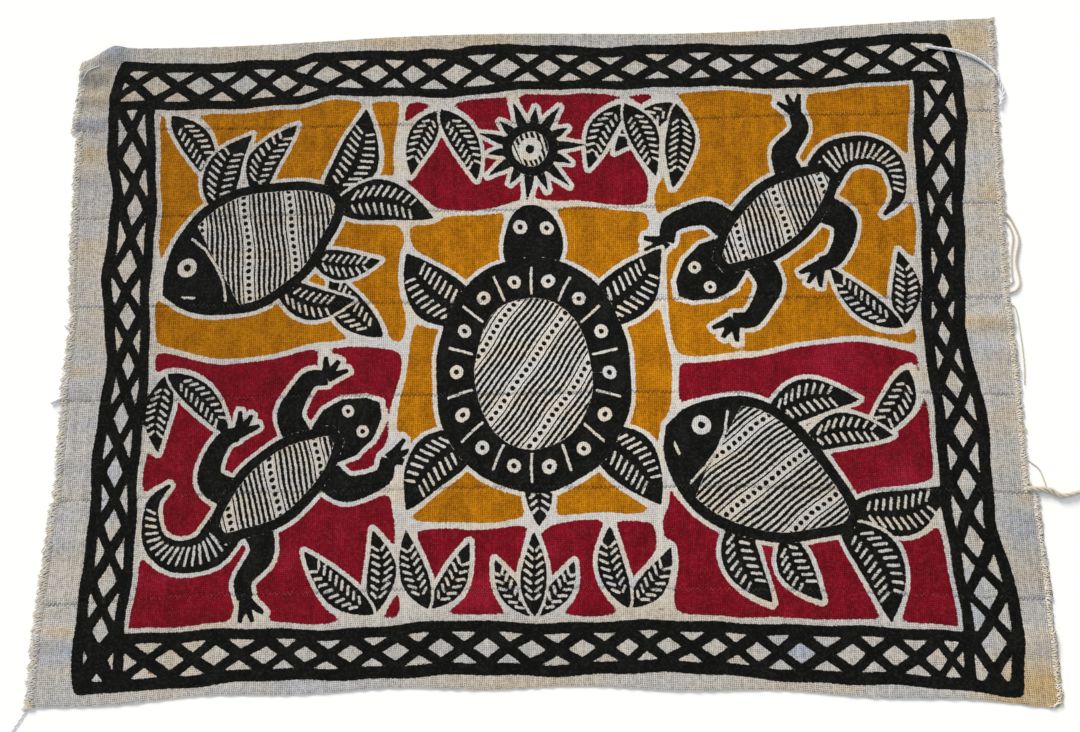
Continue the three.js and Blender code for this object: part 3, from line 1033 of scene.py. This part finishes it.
def seam_path(index, random):
    """The sewing thread's zigzag over one seam."""
    start = max(strip_end(index - 1, -1, 1.0), strip_end(index, -1, 0.0))
    end = min(strip_end(index - 1, 1, 1.0), strip_end(index, 1, 0.0))
    x = np.arange(start, end, STITCH_STEP / 2)
    side = ZIGZAG[np.arange(len(x)) % len(ZIGZAG)]
    x = x + random.uniform(-STITCH_SHIFT, STITCH_SHIFT, len(x))
    reach = STITCH_HALF_WIDTH + random.uniform(-STITCH_UNEVENNESS, STITCH_UNEVENNESS, len(x))
    y = seam_height(index, x) + side * reach
    z = cloth_top(x, y) - np.where(side == 0, 0.0, STITCH_SINK)
    return np.stack([x, y, z], axis=1)


def make_stitches(index, material):
    """The sewing thread over one seam, painted over with the cloth."""
    path = seam_path(index, np.random.default_rng(STITCH_SEED + index))
    points, faces = tubes([path], STITCH_RADIUS, THREAD_SIDES)
    piece = new_piece(f"seam_stitches_{index}", points, faces, material)
    store_painting(piece, paint_at(path[:, :2]), np.repeat(np.arange(len(path)), THREAD_SIDES))
    store(piece, "weave", np.repeat(path, THREAD_SIDES, axis=0))
    return piece


# Frayed ends
FRAY_SEED = 100
THREADS_PER_END = 100
THREAD_STEPS = 8
THREAD_RADIUS = 0.62
THREAD_THICKNESSES = (0.8, 1.25)
THREAD_UNEVENNESS = (-3.0, 1.2)
THREAD_WAVE = 0.06
THREAD_TAPER = (1.1, -0.3)
SLANT_POWER = 1.5
CURL_TURNS = 0.9
HIGHEST_ARCH = 0.6
TONE_SPREAD = 0.18
LOCKS_PER_END = 20
LOCK_LENGTH = 8.0
LOCK_UNEVENNESS = 1.0
THREAD_ROOT_DEPTH = 2.6
ROOT_SHARES = (0.4, 1.3)
FRAY_OVERLAP = 5.0
SHORTEST_THREAD = 1.6
# Each side's frayed ends, -1 on the left and +1 on the right: how white and bright they and the stray ends
# are, how far they lean up the cloth, slant either way and curl, and how much longer the lowest ones are.
FRAY = {
    -1: dict(name="left", tone=0.72, bright=0.88, stray_tone=1.0, stray_bright=1.0,
             lean=-5.5, slant=3.0, curl=1.8, longer=3.0),
    1: dict(name="right", tone=0.6, bright=1.0, stray_tone=0.66, stray_bright=0.8,
            lean=0.0, slant=3.5, curl=1.4, longer=-4.0),
}


def frayed_threads(index, side, random):
    """Short curled warp ends, drawn together in locks, that lie over the ragged end of the weave."""
    look = FRAY[side]
    each = (THREADS_PER_END, 1)
    share = ((np.arange(THREADS_PER_END) + 0.5) / THREADS_PER_END)[:, None]
    lock = np.floor(share * LOCKS_PER_END).astype(int)
    slant = look["lean"] + look["slant"] * random.uniform(-1.0, 1.0, LOCKS_PER_END)[lock]
    length = LOCK_LENGTH + random.uniform(-LOCK_UNEVENNESS, LOCK_UNEVENNESS, LOCKS_PER_END)[lock]
    length = length + random.uniform(*THREAD_UNEVENNESS, each)
    length = length + look["longer"] * (index / (STRIP_COUNT - 1)) ** 2
    length = np.maximum(length, SHORTEST_THREAD)
    depth = THREAD_ROOT_DEPTH * random.uniform(*ROOT_SHARES, each)
    curl = look["curl"] * random.uniform(-1.0, 1.0, each)
    phase = random.uniform(0, 2 * np.pi, each)
    arch = random.uniform(0.0, HIGHEST_ARCH, each)
    t = np.linspace(0, 1, THREAD_STEPS)
    root_x = strip_end(index, side, share)
    root_y = strip_point(index, root_x, share)
    out = -depth + (depth + length) * (t + THREAD_WAVE * np.sin(2 * np.pi * t + phase))
    y = root_y + slant * t ** SLANT_POWER + curl * np.sin(2 * np.pi * CURL_TURNS * t + phase)
    lowest = strip_point(index, root_x, 1.0) - FRAY_OVERLAP
    highest = strip_point(index, root_x, 0.0) + FRAY_OVERLAP
    fall = 1 - np.clip(out / (length + 1), 0, 1) ** 2
    out_of_weave = np.minimum(1.0, 1.6 * np.minimum(1.0, 4 * t) - 0.6)
    z = cloth_top(root_x, root_y) * fall + arch * np.sin(np.pi * t) + THREAD_RADIUS * out_of_weave
    paths = np.stack([root_x + side * out, np.clip(y, lowest, highest), z], axis=-1)
    thickness = random.uniform(*THREAD_THICKNESSES, each)
    radii = THREAD_RADIUS * (THREAD_TAPER[0] + THREAD_TAPER[1] * t) * thickness
    tone = np.clip(random.normal(look["tone"], TONE_SPREAD, THREADS_PER_END), 0, 1)
    return paths, radii, tone


PLY_SIDES = 6
TWIST_LENGTH = 15.0
PLY_SHARE = {1: 1.0, 2: 0.55, 3: 0.5, 4: 0.42}
PLY_STEP = 1.3
FEWEST_STEPS = 14
LOOSENESS = 0.35
TIP_TAPER = (0.9, 0.7, 0.45)


def twisted_threads(thread, floor_at):
    """A loose end as its twisted plies, lying on whatever is below it."""
    length = distances_along(np.asarray(thread["route"], float))[-1]
    steps = max(FEWEST_STEPS, int(length / PLY_STEP))
    route = smooth_route(thread["route"], steps)
    at = np.linspace(0, length, steps)
    radius = thread["thickness"] / 2
    plies = thread["plies"]
    ply_radius = PLY_SHARE[plies] * radius
    toward = direction(route)
    sideways = np.stack([-toward[:, 1], toward[:, 0]], axis=1)
    loose = 1 + LOOSENESS * np.sin(at / 11 + length) * (plies > 2)
    paths = []
    for ply in range(plies):
        turn = 2 * np.pi * (at / (TWIST_LENGTH * radius ** 0.5) + ply / plies)
        offset = (radius - ply_radius) * loose * np.cos(turn)
        plan = route + offset[:, None] * sideways
        height = floor_at(plan[:, 0], plan[:, 1]) + radius + (radius - ply_radius) * np.sin(turn)
        paths.append(np.column_stack([plan, height]))
    taper = np.ones(steps)
    taper[-len(TIP_TAPER):] = TIP_TAPER
    return paths, ply_radius * taper


def on_floor(x, y):
    return np.zeros(np.shape(x))


def on_cloth(x, y):
    """The height of whatever lies under a point near the upper strip."""
    edge = strip_end(0, 1, 0.5) + RAGGED_REACH
    inside = np.clip((edge - x) / RAGGED_REACH + 0.5, 0, 1)
    return cloth_top(x, y) * inside


def make_frayed_end(index, side, material):
    """One strip's frayed end with the longer ends that stray from it."""
    look = FRAY[side]
    random = np.random.default_rng(FRAY_SEED + 2 * index + (side > 0))
    paths, radii, tone = frayed_threads(index, side, random)
    points, faces = tubes(paths, radii, THREAD_SIDES)
    tones = np.repeat(tone, THREAD_STEPS * THREAD_SIDES)
    brightness = np.full(len(points), look["bright"])
    for stray in STRAY_ENDS:
        if stray["side"] != side or stray["strip"] != index + 1:
            continue
        more, more_faces = tubes(*twisted_threads(stray, on_floor), PLY_SIDES)
        faces += [[corner + len(points) for corner in face] for face in more_faces]
        points = np.vstack([points, more])
        tones = np.append(tones, np.full(len(more), look["stray_tone"]))
        brightness = np.append(brightness, np.full(len(more), look["stray_bright"]))
    piece = new_piece(f"frayed_end_{look['name']}_{index + 1}", points, faces, material)
    store(piece, "tone", tones)
    store(piece, "brightness", brightness)
    return piece


def make_loose_thread(number, thread, material):
    """A white thread that lies on the cloth."""
    points, faces = tubes(*twisted_threads(thread, on_cloth), PLY_SIDES)
    piece = new_piece(f"loose_thread_{number}", points, faces, material)
    store(piece, "tone", np.ones(len(points)))
    store(piece, "brightness", np.ones(len(points)))
    return piece


# Materials
class Value:
    """What a node gives, which can be added to, multiplied and so on."""

    def __init__(self, nodes, socket):
        self.nodes = nodes
        self.socket = socket

    def __add__(self, other):
        return self.nodes.math("ADD", self, other)

    def __sub__(self, other):
        return self.nodes.math("SUBTRACT", self, other)

    def __rsub__(self, other):
        return self.nodes.math("SUBTRACT", other, self)

    def __mul__(self, other):
        return self.nodes.math("MULTIPLY", self, other)

    def __truediv__(self, other):
        return self.nodes.math("DIVIDE", self, other)

    __radd__ = __add__
    __rmul__ = __mul__


class Nodes:
    """Short forms for one material's nodes."""

    def __init__(self, name):
        self.material = bpy.data.materials.new(name)
        self.material.use_nodes = True
        self.tree = self.material.node_tree
        self.shader = self.tree.nodes["Principled BSDF"]

    def put(self, socket, value):
        """Links a value to a socket, or sets a constant on it."""
        if isinstance(value, Value):
            self.tree.links.new(value.socket, socket)
        else:
            socket.default_value = value

    def make(self, kind, inputs, output=0, **settings):
        """What a new node gives at one of its outputs."""
        node = self.tree.nodes.new("ShaderNode" + kind)
        for name, setting in settings.items():
            setattr(node, name, setting)
        for key, value in inputs.items():
            self.put(node.inputs[key], value)
        return Value(self, node.outputs[output])

    def math(self, operation, *values):
        return self.make("Math", dict(enumerate(values)), operation=operation)

    def attribute(self, name, output="Fac"):
        return self.make("Attribute", {}, output, attribute_name=name)

    def split(self, vector):
        node = self.tree.nodes.new("ShaderNodeSeparateXYZ")
        self.put(node.inputs[0], vector)
        return [Value(self, output) for output in node.outputs]

    def vector(self, x, y, z=0.0):
        return self.make("CombineXYZ", {0: x, 1: y, 2: z})

    def stretch(self, vector, scales):
        return self.make("VectorMath", {0: vector, 1: scales}, operation="MULTIPLY")

    def noise(self, vector, scale, detail=2.0):
        return self.make("TexNoise", dict(Vector=vector, Scale=scale, Detail=detail), "Fac")

    def chance(self, x, y, z=0.0):
        """A random number from 0 to 1 for each whole place."""
        inputs = dict(Vector=self.vector(x, y, z))
        return self.make("TexWhiteNoise", inputs, "Value", noise_dimensions="3D")

    def range(self, value, low, high, to_low=0.0, to_high=1.0):
        """A smooth step between two numbers while a value goes from low to high."""
        inputs = dict(enumerate((value, low, high, to_low, to_high)))
        return self.make("MapRange", inputs, interpolation_type="SMOOTHSTEP")

    def mix(self, share, first, second, blend="MIX"):
        return self.make("Mix", {0: share, 6: first, 7: second}, 2, data_type="RGBA", blend_type=blend)

    def shade(self, colour, brightness):
        """A colour times a number."""
        return self.mix(1.0, colour, self.vector(brightness, brightness, brightness), "MULTIPLY")

    def bump(self, height, distance, strength):
        inputs = dict(Height=height, Distance=distance, Strength=strength)
        self.put(self.shader.inputs["Normal"], self.make("Bump", inputs))

    def surface(self, shown, roughness, specular):
        """The finished material."""
        self.put(self.shader.inputs["Base Color"], shown)
        self.put(self.shader.inputs["Roughness"], roughness)
        self.put(self.shader.inputs["Specular IOR Level"], specular)
        return self.material


def colour(red, green, blue):
    """A colour as it shows in daylight, from 0 to 255, to the shader's linear values."""
    def linear(value):
        value /= 255
        return value / 12.92 if value <= 0.04045 else ((value + 0.055) / 1.055) ** 2.4
    return (linear(red), linear(green), linear(blue), 1.0)


COTTON = colour(172, 168, 162)
COTTON_WARM = colour(178, 154, 114)
# The cool colour serves the random patches and the painted shade of the bare cotton
COTTON_COOL_AND_SHADED = colour(152, 158, 172)
CRIMSON = colour(120, 9, 28)
CRIMSON_DARK = colour(101, 7, 21)
CRIMSON_BRIGHT = colour(148, 26, 50)
OCHRE = colour(168, 106, 1)
OCHRE_DARK = colour(146, 89, 1)
MUD_BLACK = colour(9, 11, 9)
MUD_BLACK_FADED = colour(20, 21, 19)
# Bluish grey of the painted shade on the sewing thread
STITCH_SHADE_BLUE = colour(112, 118, 138)
FRAY_BROWN = colour(188, 168, 138)
FRAY_CREAM = colour(216, 207, 192)
FRAY_WHITE = colour(216, 218, 222)
CREAM_RANGE = (0.0, 0.5)
WHITE_RANGE = (0.65, 1.0)
FLOOR_WHITE = colour(248, 248, 248)
COTTON_FINISH = dict(roughness=0.92, specular=0.1)
THREAD_FINISH = dict(roughness=0.9, specular=0.12)
FLOOR_FINISH = dict(roughness=0.9, specular=0.0)

# The weave, in millimetres and in shares of a thread
WEFT_PITCH = 2.6
WARP_PITCH = 2.4
THREAD_JOG = 0.4
JOG_LAYER = 7.0
DRIFT_SCALE = 0.05
SLUB_SCALES = (0.04, 0.08, 1.0)
SLUB_SHIFT = 1.2
# Painted shade in the pits between the threads: which crossings get it, and how dark it is
PIT_CHANCES = (0.3, 1.0)
PIT_SHADE_DEPTHS = (0.6, 4.2)
ROUNDNESS = dict(weft=0.6, warp=0.4)
# Brightness of the weave: a base, random tone of each thread and crossing, a painted highlight on the
# threads' round crowns, and the least it may fall to under the painted shade of the pits
WEAVE_TONE_AND_SHADE = dict(base=0.83, thread=0.2, crossing=0.26, height=0.26, darkest=0.08)
WEAVE_BUMP = dict(distance=0.0005, strength=0.4)
CROSSING_BUMP = 0.2
PATCH_SCALES = (0.006, 0.02, 1.0)
PATCH_RANGE = (0.3, 0.7)
PATCH_TINT = 0.3
# How the paint takes the painted light: a base and a share of the painted light
PAINTED_LIGHT_ON_PAINT = dict(base=0.08, pale=0.74)
FIELD_PAINTED_LIGHT_RANGE = (1.0, 1.2)
FIELD_SMOOTHNESS = 0.66
# Share of bare cotton colour on random crossings: undyed fibre tips and painted sheen
WORN_FIBRES_AND_SHEEN = 0.016

# The paint: hatching, rows of dots, streaks and soft edges
HATCH_PITCH = 6.8
HATCH_LINE = 3.9
HATCH_WANDER = 1.6
HATCH_WANDER_SCALE = 0.06
DOT_BAND_PITCH = 61.2
DOT_BAND_WIDTH = 13.6
DOT_PITCH = 9.4
DOT_RADIUS = 3.2
STREAK_SCALES = (0.05, 0.03, 1.0)
STREAK_RANGE = (0.3, 0.7)
FADED_RANGE = (0.4, 0.75)
BLOTCH_SCALE = 0.009
BLOTCH_RANGE = (0.56, 0.72)
BLOTCH_STRENGTH = 0.6
EDGE_STEP = 1.0
EDGE_SOFTNESS = 0.45
BLACK_EDGE = 0.8

# The sewing thread: how uneven its painted edges are, its blue patches of painted shade, and its least and
# most brightness
STITCH_EDGE = 1.6
BLUE_SCALE = 0.02
BLUE_RANGE = (0.34, 0.54)
BLUE_CHANCES = (0.1, 0.5)
STITCH_SHADES = dict(bare=(0.8, 1.2), paint=(1.25, 2.05), ochre=(0.4, 0.8))
WEAR_CHANCES = (0.2, 1.0)
STITCH_WEAR = (0.01, 0.09)


def hatching(nodes):
    """Distance to the hatched lines and the rows of dots between them."""
    across = nodes.attribute("hatch_across")
    along = nodes.attribute("hatch_along")
    wander = nodes.noise(nodes.vector(across, along), HATCH_WANDER_SCALE) - 0.5
    across = across + HATCH_WANDER * wander
    line = nodes.math("PINGPONG", across, HATCH_PITCH / 2) - HATCH_LINE / 2
    in_cell = nodes.math("FLOORED_MODULO", across, DOT_BAND_PITCH)
    from_row = in_cell - DOT_BAND_WIDTH / 2
    from_dot = nodes.math("PINGPONG", along, DOT_PITCH / 2)
    dot = nodes.math("SQRT", from_row * from_row + from_dot * from_dot) - DOT_RADIUS
    in_band = nodes.math("LESS_THAN", in_cell, DOT_BAND_WIDTH)
    pattern = dot * in_band + line * (1.0 - in_band)
    return nodes.math("MAXIMUM", pattern, nodes.attribute("hatch"))


def painted(nodes, bare, place, edge, paint_brightness, ochre_brightness):
    """The cotton's colour with the grounds and the black laid over it, each times a brightness: on the cloth
    this is painted light and painted shade, on the sewing thread its lighter dye.
    """
    streak = nodes.noise(nodes.stretch(place, STREAK_SCALES), 1.0, 4.0)
    blotch = nodes.noise(place, BLOTCH_SCALE, 3.0)
    crimson = nodes.mix(nodes.range(streak, *STREAK_RANGE), CRIMSON_DARK, CRIMSON)
    crimson = nodes.mix(nodes.range(blotch, *BLOTCH_RANGE, 0.0, BLOTCH_STRENGTH), crimson, CRIMSON_BRIGHT)
    crimson = nodes.shade(crimson, paint_brightness)
    ochre = nodes.shade(nodes.mix(nodes.range(streak, *STREAK_RANGE), OCHRE_DARK, OCHRE), ochre_brightness)
    black = nodes.shade(nodes.mix(nodes.range(streak, *FADED_RANGE), MUD_BLACK, MUD_BLACK_FADED), paint_brightness)

    def covered(distance, step=1.0):
        return nodes.range(distance + step * edge, EDGE_SOFTNESS, -EDGE_SOFTNESS)

    result = nodes.mix(covered(nodes.attribute("crimson")), bare, crimson)
    result = nodes.mix(covered(nodes.attribute("ochre")), result, ochre)
    ink = nodes.math("MINIMUM", nodes.attribute("black"), hatching(nodes))
    return nodes.mix(covered(ink, BLACK_EDGE), result, black)


def plain_weave(nodes, place):
    """The chance of each crossing of two threads, the threads' roundness and their light and shade."""
    along, across, strip = nodes.split(place)
    drift = nodes.noise(place, DRIFT_SCALE) - 0.5
    slub = nodes.noise(nodes.stretch(place, SLUB_SCALES), 1.0) - 0.5
    jog = nodes.chance(nodes.math("FLOOR", across / WARP_PITCH), strip, JOG_LAYER)
    weft = along / WEFT_PITCH + THREAD_JOG * jog + drift
    weft_row = nodes.math("FLOOR", weft)
    thread = nodes.chance(weft_row, strip)
    warp = across / WARP_PITCH + THREAD_JOG * thread + SLUB_SHIFT * slub
    warp_row = nodes.math("FLOOR", warp)
    rib = nodes.math("SINE", math.pi * nodes.math("FRACT", weft))
    bead = nodes.math("SINE", math.pi * nodes.math("FRACT", warp))
    height = ROUNDNESS["weft"] * rib + ROUNDNESS["warp"] * bead
    crossing = nodes.chance(weft_row, warp_row, strip)
    other = nodes.chance(warp_row, weft_row, strip)
    # Painted shade in the pits between the threads
    pit_shade = (1.0 - rib) * (1.0 - bead) * nodes.range(other, *PIT_CHANCES, *PIT_SHADE_DEPTHS)
    # Random tone of each thread and crossing, with a painted highlight on the threads' round crowns
    tone = WEAVE_TONE_AND_SHADE["base"] + WEAVE_TONE_AND_SHADE["thread"] * thread
    tone = tone + WEAVE_TONE_AND_SHADE["crossing"] * crossing + WEAVE_TONE_AND_SHADE["height"] * height
    return crossing, height, nodes.math("MAXIMUM", tone - pit_shade, WEAVE_TONE_AND_SHADE["darkest"])


def woven_cotton():
    """The strips: a coarse plain weave of hand-spun cotton, painted on its upper face."""
    nodes = Nodes("painted_cotton")
    place = nodes.attribute("weave", "Vector")
    crossing, height, tone = plain_weave(nodes, place)
    patch = nodes.noise(nodes.stretch(place, PATCH_SCALES), 1.0, 3.0)
    tint = nodes.attribute("tint") + nodes.range(patch, *PATCH_RANGE, -PATCH_TINT, PATCH_TINT)
    pale = nodes.attribute("pale")
    # Above 0 the tint is stain, below 0 it is painted shade; the random patches shift it both ways
    bare = nodes.mix(nodes.math("MAXIMUM", tint, 0.0), COTTON, COTTON_WARM)
    bare = nodes.mix(nodes.math("MAXIMUM", -1.0 * tint, 0.0), bare, COTTON_COOL_AND_SHADED)
    # Painted light and painted shade brighten and darken the bare cotton, and the weave's painted highlights
    # and shade show less inside the border
    contrast = nodes.range(pale, *FIELD_PAINTED_LIGHT_RANGE, 1.0, FIELD_SMOOTHNESS)
    bare = nodes.shade(nodes.shade(bare, pale), (tone - 1.0) * contrast + 1.0)
    # The paint and the black take the same painted light and the weave's painted highlights and shade
    paint_brightness = (PAINTED_LIGHT_ON_PAINT["base"] + PAINTED_LIGHT_ON_PAINT["pale"] * pale) * tone
    shown = painted(nodes, bare, place, EDGE_STEP * (crossing - 0.5), paint_brightness, paint_brightness)
    # A little bare cotton colour on random crossings: undyed fibre tips, and painted sheen where fibres catch
    # the light
    shown = nodes.mix(nodes.range(crossing, 0.5, 1.0, 0.0, WORN_FIBRES_AND_SHEEN), shown, COTTON)
    nodes.bump(height + CROSSING_BUMP * crossing, **WEAVE_BUMP)
    return nodes.surface(shown, **COTTON_FINISH)


def sewing_thread():
    """The seams' thread, painted over with the cloth."""
    nodes = Nodes("sewing_thread")
    place = nodes.attribute("weave", "Vector")
    stitch = nodes.math("FLOOR", nodes.split(place)[0] / STITCH_STEP)
    chance = nodes.chance(stitch, 0.0)

    def by_chance(part):
        least, most = STITCH_SHADES[part]
        return least + (most - least) * chance

    # Bluish patches of painted shade on the bare thread
    blue = nodes.range(nodes.noise(place, BLUE_SCALE), *BLUE_RANGE) * nodes.range(chance, *BLUE_CHANCES)
    bare = nodes.shade(nodes.mix(blue, COTTON, STITCH_SHADE_BLUE), by_chance("bare"))
    edge = STITCH_EDGE * (chance - 0.5)
    shown = painted(nodes, bare, place, edge, by_chance("paint"), by_chance("ochre"))
    shown = nodes.mix(nodes.range(chance, *WEAR_CHANCES, *STITCH_WEAR), shown, COTTON)
    return nodes.surface(shown, **THREAD_FINISH)


def frayed_cotton():
    """Unpainted warp ends, from golden brown to bluish white."""
    nodes = Nodes("frayed_cotton")
    tone = nodes.attribute("tone")
    shown = nodes.mix(nodes.range(tone, *CREAM_RANGE), FRAY_BROWN, FRAY_CREAM)
    shown = nodes.mix(nodes.range(tone, *WHITE_RANGE), shown, FRAY_WHITE)
    return nodes.surface(nodes.shade(shown, nodes.attribute("brightness")), **THREAD_FINISH)


# The camera at the photograph's place, then the light and the floor
CAMERA_PLACE = (0.0505, -0.29056, 1.33181)
CAMERA_TURN = (11.881, 2.519, -0.347)
CAMERA_LENS = 35.6
SENSOR_WIDTH = 36.0
FLOOR_SIZE = 30.0
FLOOR_DROP = 0.0004
SKY_LIGHT = 0.66
SKY_COLOUR = (0.92, 0.96, 1.0, 1.0)
KEY_COLOUR = (1.0, 0.93, 0.82)
KEY_TOWARD = (0.55, -0.95, -0.62)
KEY_SOFTNESS = 24.0
KEY_STRENGTH = 3.1


def make_camera():
    camera = add_object("camera", bpy.data.cameras.new("camera"))
    camera.data.lens = CAMERA_LENS
    camera.data.sensor_width = SENSOR_WIDTH
    camera.data.sensor_fit = "HORIZONTAL"
    camera.location = CAMERA_PLACE
    camera.rotation_euler = [math.radians(turn) for turn in CAMERA_TURN]
    bpy.context.scene.camera = camera


def make_light():
    world = bpy.data.worlds.new("studio")
    bpy.context.scene.world = world
    world.use_nodes = True
    sky = world.node_tree.nodes["Background"]
    sky.inputs["Color"].default_value = SKY_COLOUR
    sky.inputs["Strength"].default_value = SKY_LIGHT
    lamp = bpy.data.lights.new("key", "SUN")
    lamp.energy = KEY_STRENGTH
    lamp.color = KEY_COLOUR
    lamp.angle = math.radians(KEY_SOFTNESS)
    key = add_object("key", lamp)
    key.rotation_euler = Vector(KEY_TOWARD).to_track_quat("-Z", "Y").to_euler()
    bpy.context.scene.view_settings.view_transform = "Standard"


def make_floor():
    half = FLOOR_SIZE / 2
    mesh = bpy.data.meshes.new("floor")
    corners = [(-half, -half), (half, -half), (half, half), (-half, half)]
    mesh.from_pydata([(x, y, -FLOOR_DROP) for x, y in corners], [], [(0, 1, 2, 3)])
    mesh.materials.append(Nodes("pale_floor").surface(FLOOR_WHITE, **FLOOR_FINISH))
    add_object("floor", mesh)


# The whole cloth
def make_cloth():
    """Every strip with its frayed ends and the seam above it, or the loose threads on the uppermost."""
    woven = woven_cotton()
    sewn = sewing_thread()
    frayed = frayed_cotton()
    for index in range(STRIP_COUNT):
        strip = make_strip(index, woven)
        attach(strip, "root")
        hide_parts(f"strip_{index + 1}")
        for side in (-1, 1):
            end = make_frayed_end(index, side, frayed)
            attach(end, "root")
            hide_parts(f"fringe_{FRAY[side]['name']}_{index + 1}")
        if index > 0:
            stitches = make_stitches(index, sewn)
            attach(stitches, "root")
        if index == 0:
            for number, thread in enumerate(LOOSE_THREADS, 1):
                piece = make_loose_thread(number, thread, frayed)
                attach(piece, "root")


make_camera()
make_light()
make_floor()
make_cloth()
